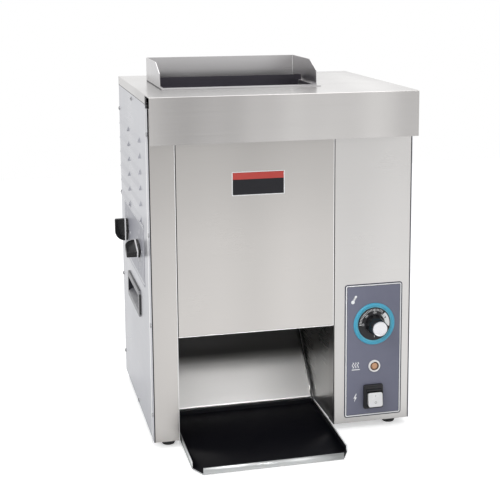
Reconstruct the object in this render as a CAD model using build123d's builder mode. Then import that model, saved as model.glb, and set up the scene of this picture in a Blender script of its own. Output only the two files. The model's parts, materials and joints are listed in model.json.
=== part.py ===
from build123d import *
from math import atan, cos, pi, radians, sin, sqrt, tan
import os

# A vertical conveyor toaster for bun halves.  Buns drop in through two slots in the lid, a
# front and a rear belt draw them down past a heated platen, and they fall on a slide and
# run out onto a tray.  Millimetres, +Z up, the front looks along -Y.

# ------------------------------------------------------------------ driving sizes
# housing
body_depth = 357.0
body_height = 540.0
foot_height = 13.0
foot_diameter = 28.0
foot_inset = 26.0
sheet = 1.2
fold_radius = 2.2
seam = 0.5
lap_clearance = 0.4

# front
post_width = 40.4
bay_width = 250.3
column_width = 128.3
cover_bottom = 165.6
front_top_drop = 19.0
cover_return = 22.0
post_return = 18.0
pan_flange = 20.0
corner_relief = 22.0
wall_flange = 12.0
wall_setback = 27.0

# lid and feeder
lid_overhang = 25.7
lid_front_flange = 71.0
lid_side_flange = 14.0
lid_notch = 20.0
feeder_height = 39.0
feeder_front = 81.0
slot_front = 105.0
slot_back = 252.0
slot_left_margin = 0.6
slot_right_margin = 5.7
feeder_lip = 5.7
wing_slope_start = 107.0
wing_shoulder = 147.0
wing_front_height = 23.5
skirt_depth = 8.0
divider_height = 10.5
divider_thickness = 1.5
divider_corner = 7.0

# platen and conveyors
platen_y = 191.5
platen_bottom = 205.0
platen_top = 480.0
platen_plate = 7.7
platen_end_gap = 8.0
element_size = 7.0
element_fit = 0.15
element_tail = 16.0
bush_wall = 2.5
bush_collar = 2.0
bush_flange = 3.0
bush_tail = 4.0
element_pitch = 58.0
element_first = 256.0
element_turn_margin = 10.0
release_thickness = 0.5
soft_gap = 0.3
channel_width = 28.85
roller_diameter = 50.0
roller_shaft = 10.0
belt_thickness = 1.5
belt_gap = 0.3
belt_side_margin = 10.0
drive_z = 196.0
idler_z = 462.0
chute_drop = 14.0
chute_flange = 14.0
chute_end_z = 478.0

# running fits
shaft_clearance = 0.05
bearing_margin = 12.0
bearing_thickness = 5.0
spigot_margin = 3.0
shaft_tail = 1.0

# gear train
gear_teeth = 16
gear_width = 8.0
gear_standoff = 7.0
gear_backlash = 0.3
pressure_angle = 20.0
stud_diameter = 8.0
stud_collar = 8.0
motor_plate_gap = 4.0
motor_radius = 28.0
gearbox_length = 26.0
motor_can_length = 42.0
motor_can_radius = 24.0
bracket_half_width = 36.0
bracket_foot = 14.0
bracket_height = 62.0

# bun thickness adjustment
cam_z = 283.5
cam_setback = 6.5
cam_shaft = 8.0
cam_low_radius = 9.0
cam_lift = 6.0
cam_sweep = 270.0
cam_thickness = 8.0
cam_margin = 38.0
front_cam_setting = 120.0
rear_cam_setting = 0.0
follower_gap = 0.3
press_bottom = 228.0
press_top = 438.0
press_flange = 9.0
press_end_gap = 4.0
press_belt_gap = 0.5
tongue_height = 14.0
tongue_reach = 4.0
tongue_play = 0.4
pad_height = 10.0
pad_width = 14.0

# adjustment knobs
knob_length = 38.0
knob_thickness = 10.0
knob_height = 21.5
knob_gap = 1.8
knob_round = 16.0
knob_hub = 7.0
knob_foot = 3.0
knob_foot_width = 15.0
knob_foot_corner = 4.0

# slide and tray
slide_foot = 119.0
slide_side_gap = 3.5
slide_flange = 7.0
slide_foot_length = 20.0
slide_top_flange = 14.0
slide_angle = 45.0
tray_reach = 110.0
tray_rear = 114.5
tray_side_gap = 3.0
tray_flange = 10.5
tray_lip = 11.0
tray_corner_width = 13.7
tray_corner_depth = 26.0
tray_slope = 1.8
tray_floor_clearance = 0.5
ledge_length = 16.0

# side panels
louvre_length = 108.0
louvre_height = 9.0
louvre_proud = 3.0
louvre_pitch = 25.3
louvre_rows = 6
louvre_top = 463.0
louvre_front = 90.0
louvre_column_pitch = 138.0
handle_length = 150.0
handle_height = 45.0
handle_front = 120.0
handle_z = 188.5
handle_proud = 3.0
handle_rim = 6.0
handle_wall = 3.0
handle_depth = 28.0
finger_room = 11.0
label_front = 65.0
label_length = 245.0
label_bottom = 232.0
label_height = 100.0
label_thickness = 0.5
rail_height = 28.0

# control panel, measured from the lower left corner of its overlay
overlay_margin = 17.8
overlay_bottom = 9.0
overlay_width = 96.6
overlay_height = 221.5
overlay_corner = 4.5
overlay_thickness = 0.8
dial_x = 49.2
dial_z = 154.7
bezel_diameter = 69.0
bezel_thickness = 2.5
dial_diameter = 53.5
dial_thickness = 2.5
dial_gap = 0.4
grip_diameter = 33.0
grip_top_diameter = 26.0
grip_height = 26.0
cap_diameter = 24.0
cap_thickness = 2.0
spindle_diameter = 6.0
lamp_x = 50.3
lamp_z = 84.0
lamp_bezel_diameter = 21.5
lamp_lens_diameter = 13.0
lamp_barrel = 14.0
switch_x = 48.3
switch_z = 32.2
switch_width = 32.5
switch_height = 42.5
switch_step = 5.0
switch_flange = 6.0
switch_proud = 11.0
switch_depth = 26.0
rocker_width = 24.0
rocker_height = 25.0
rocker_proud = 15.5
rocker_tilt = 6.0
rocker_gap = 0.6
pivot_diameter = 3.0
pivot_reach = 0.7

# rear
gland_from_right = 62.0
gland_z = 48.0
gland_bore = 9.0
gland_reach = 16.0
gland_body = 16.0
vent_length = 70.0
vent_height = 5.0
vent_pitch = 14.0
vent_rows = 5
block_length = 64.0
block_width = 24.0
block_height = 20.0
block_from_back = 46.0
block_ways = 5
way_pitch = 12.0
way_width = 8.0
way_length = 16.0
way_depth = 9.0

# ------------------------------------------------------------------ derived planes
body_width = post_width + bay_width + column_width
knob_reach = knob_gap + knob_height
side_reach = max(handle_proud, louvre_proud)
left = -(body_width + side_reach - knob_reach) / 2
right = left + body_width
front = -(body_depth + gland_reach - tray_reach) / 2
back = front + body_depth
base = foot_height
lid_top = base + body_height
lid_under = lid_top - sheet
front_top = lid_top - front_top_drop

bay_left = left + post_width
bay_right = bay_left + bay_width
bay_middle = (bay_left + bay_right) / 2
wall_left = bay_left - sheet
wall_right = bay_right + sheet
column_left = wall_right + sheet
floor_top = base + sheet
bay_floor_front = front + slide_foot - 1.0

platen_centre = front + platen_y
platen_core = element_size / 2 + element_fit
platen_face = platen_core + platen_plate
roller_radius = roller_diameter / 2
belt_inner = roller_radius + belt_gap
belt_outer = belt_inner + belt_thickness
conveyor_offset = platen_face + channel_width + belt_outer
gear_pitch_diameter = 2 * conveyor_offset / 3
gear_module = gear_pitch_diameter / gear_teeth
front_conveyor = platen_centre - conveyor_offset
rear_conveyor = platen_centre + conveyor_offset
belt_left = bay_left + belt_side_margin
belt_right = bay_right - belt_side_margin
drive_height = base + drive_z
idler_height = base + idler_z
shaft_radius = roller_shaft / 2
cam_radius = cam_shaft / 2

cam_offset = conveyor_offset + cam_setback
front_cam = platen_centre - cam_offset
rear_cam = platen_centre + cam_offset
cam_height = base + cam_z
press_face_out = belt_inner + cam_setback - press_belt_gap

overlay_left = bay_right + overlay_margin
overlay_low = base + overlay_bottom
overlay_front = front - overlay_thickness
thermostat_x = overlay_left + dial_x
thermostat_z = overlay_low + dial_z
indicator_x = overlay_left + lamp_x
indicator_z = overlay_low + lamp_z
power_x = overlay_left + switch_x
power_z = overlay_low + switch_z

gland_x = right - gland_from_right
gland_height = base + gland_z
handle_middle = front + handle_front + handle_length / 2
handle_centre_z = base + handle_z


# ------------------------------------------------------------------ helpers
def facing_side(x):
    """Plane at x: its first axis is +Y, its second +Z, and it faces +X."""
    return Plane.YZ.offset(x)


def facing_front(y):
    """Plane at y: its first axis is +X, its second +Z, and it faces the front."""
    return Plane.XZ.offset(-y)


def level(z):
    """Plane at height z, facing up."""
    return Plane.XY.offset(z)


def area(x_low, x_high, y_low, y_high, mode=Mode.ADD):
    """A rectangle between two corners, in the sketch that is being drawn."""
    with Locations(((x_low + x_high) / 2, (y_low + y_high) / 2)):
        Rectangle(x_high - x_low, y_high - y_low, mode=mode)


def slab(xs, ys, zs, mode=Mode.ADD):
    """A plate or a rectangular cut between two corners, in the part that is being made."""
    middle = [(low + high) / 2 for low, high in (xs, ys, zs)]
    with Locations(tuple(middle)):
        Box(xs[1] - xs[0], ys[1] - ys[0], zs[1] - zs[0], mode=mode)


def folded(plane, points, thickness=sheet, radius=fold_radius, side=Side.LEFT):
    """The cut edge of a folded sheet: the points are its outer line."""
    with BuildSketch(plane) as section:
        with BuildLine():
            FilletPolyline(*points, radius=radius)
            offset(amount=thickness, side=side)
        make_face()
    return section.sketch


def save(piece, name):
    """Names a finished piece and writes it."""
    piece.part.label = name
    export_step(piece.part, f"parts/{name}.step")


os.makedirs("parts", exist_ok=True)

# ------------------------------------------------------------------ base
pan_front = front + sheet
pan_back = back - sheet
pan_left = left + sheet
pan_right = right - sheet
bend_relief = fold_radius - sheet + soft_gap
tray_tilt = radians(tray_slope)
tray_start = front - tray_reach
ledge_front = bay_floor_front - ledge_length


def tray_underside(y):
    """Height of the tray's underside at y."""
    return tray_floor_clearance + (y - tray_start) * tan(tray_tilt)


ledge_top = tray_underside(ledge_front) - soft_gap
ledge_section = folded(
    facing_side(bay_left + tray_side_gap),
    [
        (bay_floor_front + ledge_length, base),
        (bay_floor_front, base),
        (bay_floor_front, ledge_top - sheet),
        (ledge_front, ledge_top - sheet),
    ],
    side=Side.RIGHT,
)
with BuildPart() as base_pan:
    with BuildSketch(level(base)):
        area(pan_left, pan_right, pan_front, pan_back)
        area(wall_left, wall_right, pan_front, bay_floor_front, Mode.SUBTRACT)
        area(
            wall_left - bend_relief,
            wall_right + bend_relief,
            pan_front,
            pan_front + bend_relief,
            Mode.SUBTRACT,
        )
    extrude(amount=pan_flange)
    with BuildSketch(level(floor_top)):
        area(pan_left + sheet, pan_right - sheet, pan_front + sheet, pan_back - sheet)
    extrude(amount=pan_flange, mode=Mode.SUBTRACT)
    with BuildSketch(level(base)):
        for x_low, x_high in ((pan_left, pan_left + fold_radius * 2), (pan_right - fold_radius * 2, pan_right)):
            area(x_low, x_high, pan_front, pan_front + corner_relief)
            area(x_low, x_high, pan_back - corner_relief, pan_back)
    extrude(amount=pan_flange, mode=Mode.SUBTRACT)
    extrude(ledge_section, amount=bay_width - 2 * tray_side_gap)
save(base_pan, "base_pan")

foot_places = [
    (x, y)
    for x in (left + foot_inset, right - foot_inset)
    for y in (front + foot_inset, back - foot_inset)
]
with BuildPart() as rubber_feet:
    with Locations(*[(x, y, 0) for x, y in foot_places]):
        Cone(
            foot_diameter * 0.36,
            foot_diameter / 2,
            foot_height,
            align=(Align.CENTER, Align.CENTER, Align.MIN),
        )
save(rubber_feet, "rubber_feet")

# ------------------------------------------------------------------ inner walls
wall_front = front + wall_setback
wall_length = pan_back - sheet - wall_front
wall_top = lid_under
conveyors = (front_conveyor, rear_conveyor)
bearing_places = [(y, z) for y in conveyors for z in (drive_height, idler_height)]
cam_places = [(front_cam, cam_height), (rear_cam, cam_height)]
cam_rate = cam_lift / cam_sweep


def press_face(cam_setting):
    """How far a pressure plate's face stands from its cam shaft at a setting in degrees."""
    return press_face_out - cam_lift + cam_rate * cam_setting


front_press_face = front_cam + press_face(front_cam_setting)
rear_press_face = rear_cam - press_face(rear_cam_setting)
tongue_places = [base + press_bottom + tongue_height, base + press_top - tongue_height]
front_press_travel = (-cam_rate * front_cam_setting, cam_rate * (cam_sweep - front_cam_setting))
rear_press_travel = (-cam_rate * rear_cam_setting, cam_rate * (cam_sweep - rear_cam_setting))
front_slot = (
    front_press_face - sheet + front_press_travel[0] - tongue_play,
    front_press_face + front_press_travel[1] + tongue_play,
)
rear_slot = (
    rear_press_face - rear_press_travel[1] - tongue_play,
    rear_press_face + sheet - rear_press_travel[0] + tongue_play,
)
element_places = [base + element_first, base + element_first + 3 * element_pitch]
element_bush = element_size + 2 * bush_wall
roller_spigot = roller_shaft + spigot_margin
cam_spigot = cam_shaft + spigot_margin


def wall_holes(with_elements):
    """Bearing, cam shaft and tongue holes of an inner wall, drawn on its face.

    The bearing holes are square, so that the bearings can't turn in them.
    """
    with Locations(*bearing_places):
        Rectangle(roller_spigot, roller_spigot)
    with Locations(*cam_places):
        Rectangle(cam_spigot, cam_spigot)
    for slot_low, slot_high in (front_slot, rear_slot):
        for z in tongue_places:
            half = tongue_height / 2 + tongue_play
            area(slot_low, slot_high, z - half, z + half)
    if with_elements:
        with Locations(*[(platen_centre, z) for z in element_places]):
            Rectangle(element_bush, element_bush)


left_wall_section = folded(
    facing_front(wall_front),
    [
        (wall_left - wall_flange, floor_top),
        (wall_left, floor_top),
        (wall_left, wall_top),
        (wall_left - wall_flange, wall_top),
    ],
    radius=0,
)
with BuildPart() as left_inner_wall:
    extrude(left_wall_section, amount=-wall_length)
    with BuildSketch(facing_side(wall_left)):
        wall_holes(with_elements=False)
    extrude(amount=-2 * sheet, mode=Mode.SUBTRACT)
save(left_inner_wall, "left_inner_wall")

right_wall_section = folded(
    facing_front(wall_front),
    [
        (wall_right + wall_flange, wall_top),
        (wall_right, wall_top),
        (wall_right, floor_top),
        (wall_right + wall_flange, floor_top),
    ],
    radius=0,
)
with BuildPart() as right_inner_wall:
    extrude(right_wall_section, amount=-wall_length)
    with BuildSketch(facing_side(wall_right)):
        wall_holes(with_elements=True)
    extrude(amount=2 * sheet, mode=Mode.SUBTRACT)
save(right_inner_wall, "right_inner_wall")

# ------------------------------------------------------------------ front sheets
post_section = folded(
    level(base),
    [
        (pan_left, front + post_return),
        (pan_left, front),
        (bay_left, front),
        (bay_left, wall_front - seam),
    ],
)
with BuildPart() as left_front_post:
    extrude(post_section, amount=front_top - base)
save(left_front_post, "left_front_post")

fascia_section = folded(
    level(base),
    [
        (bay_right, wall_front - seam),
        (bay_right, front),
        (pan_right, front),
        (pan_right, front + post_return),
    ],
)
with BuildPart() as control_fascia:
    extrude(fascia_section, amount=front_top - base)
    with BuildSketch(facing_front(front)):
        with Locations((thermostat_x, thermostat_z)):
            Circle(spindle_diameter)
        with Locations((indicator_x, indicator_z)):
            Rectangle(lamp_barrel + 2 * soft_gap, lamp_barrel + 2 * soft_gap)
        with Locations((power_x, power_z)):
            Rectangle(
                switch_width - 2 * switch_step + 2 * soft_gap,
                switch_height - 2 * switch_step + 2 * soft_gap,
            )
    extrude(amount=-2 * sheet, mode=Mode.SUBTRACT)
save(control_fascia, "control_fascia")

cover_left = bay_left + seam
cover_right = bay_right - seam
cover_low = base + cover_bottom
cover_section = folded(
    facing_side(cover_left),
    [
        (front + cover_return, cover_low),
        (front, cover_low),
        (front, front_top),
    ],
    side=Side.RIGHT,
)
with BuildPart() as front_cover:
    extrude(cover_section, amount=cover_right - cover_left)
    for x in (cover_left, cover_right - sheet):
        slab((x, x + sheet), (front + sheet, front + cover_return), (cover_low + fold_radius, front_top))
save(front_cover, "front_cover")

# ------------------------------------------------------------------ side panels
panel_top = lid_top - lid_side_flange - lap_clearance
rail_top = lid_under


def louvre_columns():
    """Front ends of the two louvre columns."""
    return [front + louvre_front, front + louvre_front + louvre_column_pitch]


def side_panel(outer, outwards):
    """A side sheet with its louvres, hand-hold opening and lid rail; outwards is -1 or 1."""

    def from_face(depth):
        """An x that lies this far inside the outer face."""
        return outer - outwards * depth

    half = louvre_height / 2
    hood = [(0.1, half), (-louvre_proud, -half + 1.8), (-louvre_proud, -half), (0.1, -half)]
    throat = [
        (sheet + 0.1, half - 1.0),
        (1.0 - louvre_proud, -half + 1.5),
        (1.0 - louvre_proud, -half - 0.1),
        (sheet + 0.1, -half - 0.1),
    ]
    inner = from_face(sheet)
    rail_line = [
        (inner, panel_top - rail_height),
        (inner, rail_top),
        (from_face(wall_flange), rail_top),
    ]
    rail_side = Side.RIGHT if outwards < 0 else Side.LEFT
    rail_section = folded(facing_front(front + lid_notch), rail_line, side=rail_side)
    rail_length = body_depth - lid_notch - corner_relief
    with BuildPart() as panel:
        slab(sorted((outer, inner)), (front, back - seam), (base, panel_top))
        slab(
            sorted((outer, inner)),
            (front, front + lid_notch),
            (panel_top - lap_clearance - 5.0, panel_top),
            Mode.SUBTRACT,
        )
        extrude(rail_section, amount=-rail_length)
        for y in louvre_columns():
            with BuildSketch(facing_front(y)) as hoods:
                for row in range(louvre_rows):
                    z = base + louvre_top - row * louvre_pitch
                    with BuildLine():
                        Polyline(*[(from_face(depth), z + rise) for depth, rise in hood], close=True)
                    make_face()
            extrude(amount=-louvre_length)
            with BuildSketch(facing_front(y + 1.0)) as throats:
                for row in range(louvre_rows):
                    z = base + louvre_top - row * louvre_pitch
                    with BuildLine():
                        Polyline(*[(from_face(depth), z + rise) for depth, rise in throat], close=True)
                    make_face()
            extrude(amount=-(louvre_length - 2.0), mode=Mode.SUBTRACT)
        with BuildSketch(facing_side(outer)):
            with Locations((handle_middle, handle_centre_z)):
                Rectangle(
                    handle_length - 2 * handle_rim + 2 * soft_gap,
                    handle_height - 2 * handle_rim + 2 * soft_gap,
                )
            if outwards < 0:
                with Locations(*cam_places):
                    Circle(knob_hub + soft_gap)
        extrude(amount=-outwards * 2 * sheet, mode=Mode.SUBTRACT)
    return panel


left_side_panel = side_panel(left, -1)
save(left_side_panel, "left_side_panel")
right_side_panel = side_panel(right, 1)
save(right_side_panel, "right_side_panel")


def hand_hold(outer, outwards):
    """A moulded recessed grip: a raised rim, and a pocket that is deep at its top."""

    def from_face(depth):
        """An x that lies this far inside the panel's outer face."""
        return outer - outwards * depth

    half_length = handle_length / 2 - handle_rim
    half_height = handle_height / 2 - handle_rim
    pocket = half_height - handle_wall
    shelf = pocket - finger_room
    shell_line = [
        (0, half_height),
        (handle_depth + handle_wall, half_height),
        (handle_depth + handle_wall, shelf - handle_wall),
        (0, -half_height),
    ]
    pocket_line = [
        (-handle_proud - 1.0, pocket),
        (handle_depth, pocket),
        (handle_depth, shelf),
        (-handle_proud, -pocket),
        (-handle_proud - 1.0, -pocket),
    ]
    with BuildPart() as handle:
        with BuildSketch(facing_side(outer)):
            with Locations((handle_middle, handle_centre_z)):
                RectangleRounded(handle_length, handle_height, handle_rim * 1.5)
        extrude(amount=outwards * handle_proud)
        with BuildSketch(facing_front(handle_middle - half_length)):
            with BuildLine():
                Polyline(*[(from_face(x), handle_centre_z + z) for x, z in shell_line], close=True)
            make_face()
        extrude(amount=-2 * half_length)
        with BuildSketch(facing_front(handle_middle - half_length + handle_wall)):
            with BuildLine():
                Polyline(*[(from_face(x), handle_centre_z + z) for x, z in pocket_line], close=True)
            make_face()
        extrude(amount=-2 * (half_length - handle_wall), mode=Mode.SUBTRACT)
    return handle


left_handle = hand_hold(left, -1)
save(left_handle, "left_handle")
right_handle = hand_hold(right, 1)
save(right_handle, "right_handle")

with BuildPart() as compression_label:
    with BuildSketch(facing_side(left)):
        area(
            front + label_front,
            front + label_front + label_length,
            base + label_bottom,
            base + label_bottom + label_height,
        )
        with Locations(*cam_places):
            Circle(knob_hub + soft_gap, mode=Mode.SUBTRACT)
    extrude(amount=-label_thickness)
save(compression_label, "compression_label")

# ------------------------------------------------------------------ rear panel
rear_section = folded(
    level(base),
    [
        (pan_left, back - post_return),
        (pan_left, back),
        (pan_right, back),
        (pan_right, back - post_return),
    ],
    side=Side.RIGHT,
)
rear_top = panel_top - rail_height - seam
with BuildPart() as rear_panel:
    extrude(rear_section, amount=lid_under - lap_clearance - base)
    for x_low in (pan_left, pan_right - sheet):
        slab(
            (x_low, x_low + sheet),
            (back - post_return, back - fold_radius),
            (rear_top, lid_under),
            Mode.SUBTRACT,
        )
    with BuildSketch(facing_front(back)):
        for z in (0.3, 0.72):
            for x in (0.3, 0.7):
                with Locations((left + body_width * x, base + body_height * z)):
                    with GridLocations(1, vent_pitch, 1, vent_rows):
                        Rectangle(vent_length, vent_height)
        with Locations((gland_x, gland_height)):
            Circle(gland_body / 2 + shaft_clearance)
    extrude(amount=2 * sheet, both=True, mode=Mode.SUBTRACT)
save(rear_panel, "rear_panel")

with BuildPart() as cord_gland:
    with BuildSketch(facing_front(back)):
        with Locations((gland_x, gland_height)):
            RegularPolygon(gland_body * 0.72, 6)
    extrude(amount=-gland_reach * 0.4)
    with BuildSketch(facing_front(back + gland_reach * 0.4)):
        with Locations((gland_x, gland_height)):
            Circle(gland_body * 0.6)
    extrude(amount=-gland_reach * 0.6)
    with BuildSketch(facing_front(back)):
        with Locations((gland_x, gland_height)):
            Circle(gland_body / 2)
    extrude(amount=gland_body)
    with BuildSketch(facing_front(back + gland_reach)):
        with Locations((gland_x, gland_height)):
            Circle(gland_bore / 2)
    extrude(amount=gland_reach + gland_body, mode=Mode.SUBTRACT)
save(cord_gland, "cord_gland")

# ------------------------------------------------------------------ lid
lid_front = front - lid_overhang
lid_back = back + sheet + lap_clearance
open_left = bay_left + slot_left_margin
open_right = bay_right - slot_right_margin
open_front = front + slot_front
open_back = front + slot_back
lid_section = folded(
    facing_side(left),
    [
        (lid_back, lid_top - lid_side_flange),
        (lid_back, lid_top),
        (lid_front, lid_top),
        (lid_front, lid_top - lid_front_flange),
    ],
)
with BuildPart() as top_lid:
    extrude(lid_section, amount=body_width)
    for x in (left, right - sheet):
        slab((x, x + sheet), (front + lid_notch, lid_back - fold_radius), (lid_top - lid_side_flange, lid_under))
    slab(
        (open_left - sheet - seam, open_right + sheet + seam),
        (open_front - sheet - seam, open_back + sheet + seam),
        (lid_under - 1.0, lid_top + 1.0),
        Mode.SUBTRACT,
    )
save(top_lid, "top_lid")

feeder_left = open_left - feeder_lip
feeder_right = open_right + feeder_lip + sheet
feeder_back = open_back + sheet
feeder_start = front + feeder_front
feeder_top = lid_top + feeder_height
with BuildPart() as bun_feeder:
    slab((feeder_left, feeder_right), (feeder_start, feeder_back), (lid_top, lid_top + sheet))
    with BuildSketch(facing_side(feeder_left)) as wing:
        with BuildLine():
            Polyline(
                (open_front, lid_top),
                (front + wing_slope_start, lid_top + wing_front_height),
                (front + wing_shoulder, feeder_top),
                (feeder_back, feeder_top),
                (feeder_back, lid_top),
                close=True,
            )
        make_face()
    extrude(amount=feeder_right - feeder_left)
    slab(
        (feeder_left + sheet, feeder_right - sheet),
        (front, feeder_back - sheet),
        (lid_top + sheet, feeder_top + 1.0),
        Mode.SUBTRACT,
    )
    back_edges = bun_feeder.edges().filter_by(Axis.Z).group_by(Axis.Y)[-1]
    fillet(back_edges, sheet * 0.8)
    slab(
        (open_left - sheet, open_right + sheet),
        (open_front - sheet, open_back + sheet),
        (lid_top - skirt_depth, lid_top + sheet),
    )
    slab(
        (open_left, open_right),
        (open_front, open_back),
        (lid_top - skirt_depth - 1.0, lid_top + sheet * 2),
        Mode.SUBTRACT,
    )
save(bun_feeder, "bun_feeder")

# ------------------------------------------------------------------ guides below the slots
chute_left = wall_left + seam
chute_right = wall_right - seam
chute_lip = sheet + 2 * seam + sheet
front_mouth = open_front - chute_lip
rear_mouth = open_back + chute_lip
channel_line = belt_outer + 1.5
chute_end = base + chute_end_z
front_chute_section = folded(
    facing_side(chute_left),
    [
        (front_conveyor + channel_line, chute_end),
        (front_mouth, lid_under - chute_drop),
        (front_mouth, lid_under),
        (front_mouth - chute_flange, lid_under),
    ],
)
with BuildPart() as front_chute:
    extrude(front_chute_section, amount=chute_right - chute_left)
save(front_chute, "front_chute")

rear_chute_section = folded(
    facing_side(chute_left),
    [
        (rear_mouth + chute_flange, lid_under),
        (rear_mouth, lid_under),
        (rear_mouth, lid_under - chute_drop),
        (rear_conveyor - channel_line, chute_end),
    ],
)
with BuildPart() as rear_chute:
    extrude(rear_chute_section, amount=chute_right - chute_left)
save(rear_chute, "rear_chute")

# ------------------------------------------------------------------ platen and heater
platen_left = bay_left + platen_end_gap
platen_right = bay_right - platen_end_gap
platen_low = base + platen_bottom
platen_high = base + platen_top


platen_spans = (
    (platen_centre - platen_face, platen_centre - platen_core),
    (platen_centre + platen_core, platen_centre + platen_face),
)
with BuildPart() as platen_plates:
    for span in platen_spans:
        slab((platen_left, platen_right), span, (platen_low, platen_high))
    plate_faces = platen_plates.faces().sort_by(Axis.Y)
    for outer_face in (plate_faces[0], plate_faces[-1]):
        chamfer(outer_face.edges(), 1.5)
save(platen_plates, "platen_plates")

element_turn = element_pitch / 2
turn_left = platen_left + element_turn_margin + element_turn
turn_right = platen_right - element_turn_margin - element_turn
terminal_x = column_left + element_tail
pass_z = [base + element_first + i * element_pitch for i in range(4)]
with BuildPart() as heating_element:
    with BuildSketch(facing_front(platen_centre - element_size / 2)):
        with BuildLine():
            Line((terminal_x, pass_z[0]), (turn_left, pass_z[0]))
            CenterArc((turn_left, pass_z[0] + element_turn), element_turn, 90, 180)
            Line((turn_left, pass_z[1]), (turn_right, pass_z[1]))
            CenterArc((turn_right, pass_z[1] + element_turn), element_turn, -90, 180)
            Line((turn_right, pass_z[2]), (turn_left, pass_z[2]))
            CenterArc((turn_left, pass_z[2] + element_turn), element_turn, 90, 180)
            Line((turn_left, pass_z[3]), (terminal_x, pass_z[3]))
        trace(line_width=element_size)
    extrude(amount=-element_size)
save(heating_element, "heating_element")

element_bore = element_size + 2 * element_fit
bush_steps = (
    (column_left, bush_flange, element_bush + 2 * bush_collar, Mode.ADD),
    (column_left, -2 * sheet, element_bush - 2 * shaft_clearance, Mode.ADD),
    (column_left - 2 * sheet, 2 * sheet + bush_tail, element_bore, Mode.SUBTRACT),
)
with BuildPart() as element_bushes:
    for start, length, width, mode in bush_steps:
        with BuildSketch(facing_side(start)):
            with Locations(*[(platen_centre, z) for z in element_places]):
                Rectangle(width, width)
        extrude(amount=length, mode=mode)
save(element_bushes, "element_bushes")

bracket_z = (platen_low + 14.0, platen_high - 14.0)
bracket_half_height = 11.0
bracket_foot_half = platen_face - 2.0
with BuildPart() as platen_brackets:
    for z in bracket_z:
        heights = (z - bracket_half_height, z + bracket_half_height)
        for wall, inwards in ((wall_left, 1), (wall_right, -1)):
            foot = sorted((wall, wall + inwards * 3.0))
            tab = sorted((wall, wall + inwards * (platen_end_gap + sheet + 16.0)))
            slab(foot, (platen_centre - bracket_foot_half, platen_centre + bracket_foot_half), heights)
            slab(tab, (platen_centre - element_size / 2, platen_centre + element_size / 2), heights)
save(platen_brackets, "platen_brackets")

release_half = platen_face + soft_gap + release_thickness
release_high = platen_high + soft_gap + release_thickness
release_section = folded(
    facing_side(platen_left),
    [
        (platen_centre + release_half, platen_low - 6.0),
        (platen_centre + release_half, release_high),
        (platen_centre - release_half, release_high),
        (platen_centre - release_half, platen_low - 6.0),
    ],
    thickness=release_thickness,
    radius=1.0,
)
with BuildPart() as release_sheet:
    extrude(release_section, amount=platen_right - platen_left)
save(release_sheet, "release_sheet")

saddle_half = release_half + soft_gap + sheet
saddle_high = release_high + soft_gap + sheet
saddle_section = folded(
    facing_side(open_left + 1.0),
    [
        (platen_centre + saddle_half, saddle_high - chute_drop),
        (platen_centre + saddle_half, saddle_high),
        (platen_centre - saddle_half, saddle_high),
        (platen_centre - saddle_half, saddle_high - chute_drop),
    ],
)
divider_left = open_left + 1.0
divider_right = open_right - 1.0
divider_top = lid_top + divider_height
with BuildPart() as feeder_divider:
    extrude(saddle_section, amount=divider_right - divider_left)
    slab(
        (divider_left, divider_right),
        (platen_centre - divider_thickness / 2, platen_centre + divider_thickness / 2),
        (saddle_high - sheet, divider_top),
    )
    top_corners = feeder_divider.edges().filter_by(Axis.Y).group_by(Axis.Z)[-1]
    fillet(top_corners, divider_corner)
save(feeder_divider, "feeder_divider")


# ------------------------------------------------------------------ conveyors
bearing_sets = ((bearing_places, shaft_radius), (cam_places, cam_radius))
with BuildPart() as shaft_bearings:
    for wall, outwards in ((wall_left, -1), (wall_right, 1)):
        for places, shaft in bearing_sets:
            block = 2 * shaft + bearing_margin
            spigot = 2 * shaft + spigot_margin - 2 * shaft_clearance
            with BuildSketch(facing_side(wall + outwards * sheet)):
                with Locations(*places):
                    Rectangle(block, block)
            extrude(amount=outwards * bearing_thickness)
            with BuildSketch(facing_side(wall + outwards * sheet)):
                with Locations(*places):
                    Rectangle(spigot, spigot)
            extrude(amount=-outwards * sheet)
            with BuildSketch(facing_side(wall)):
                with Locations(*places):
                    Circle(shaft + shaft_clearance)
            extrude(amount=outwards * (sheet + bearing_thickness), mode=Mode.SUBTRACT)
save(shaft_bearings, "shaft_bearings")

gear_left = column_left + gear_standoff
gear_right = gear_left + gear_width
shaft_start = wall_left - sheet - bearing_thickness - shaft_tail
idler_shaft_end = column_left + bearing_thickness + shaft_tail
drive_shaft_end = gear_right + 2.0


def roller(y, z, shaft_end):
    """A conveyor roller: a drum on a through shaft."""
    with BuildPart() as drum:
        with BuildSketch(facing_side(belt_left)):
            with Locations((y, z)):
                Circle(roller_radius)
        extrude(amount=belt_right - belt_left)
        with BuildSketch(facing_side(shaft_start)):
            with Locations((y, z)):
                Circle(shaft_radius)
        extrude(amount=shaft_end - shaft_start)
    return drum


front_drive_roller = roller(front_conveyor, drive_height, drive_shaft_end)
save(front_drive_roller, "front_drive_roller")
rear_drive_roller = roller(rear_conveyor, drive_height, drive_shaft_end)
save(rear_drive_roller, "rear_drive_roller")
front_top_roller = roller(front_conveyor, idler_height, idler_shaft_end)
save(front_top_roller, "front_top_roller")
rear_top_roller = roller(rear_conveyor, idler_height, idler_shaft_end)
save(rear_top_roller, "rear_top_roller")


def belt(y):
    """A belt loop round its two rollers."""
    with BuildPart() as loop:
        with BuildSketch(facing_side(belt_left)):
            with Locations((y, (drive_height + idler_height) / 2)):
                SlotCenterToCenter(idler_height - drive_height, 2 * belt_outer, rotation=90)
                SlotCenterToCenter(
                    idler_height - drive_height, 2 * belt_inner, rotation=90, mode=Mode.SUBTRACT
                )
        extrude(amount=belt_right - belt_left)
    return loop


front_belt = belt(front_conveyor)
save(front_belt, "front_belt")
rear_belt = belt(rear_conveyor)
save(rear_belt, "rear_belt")

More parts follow.
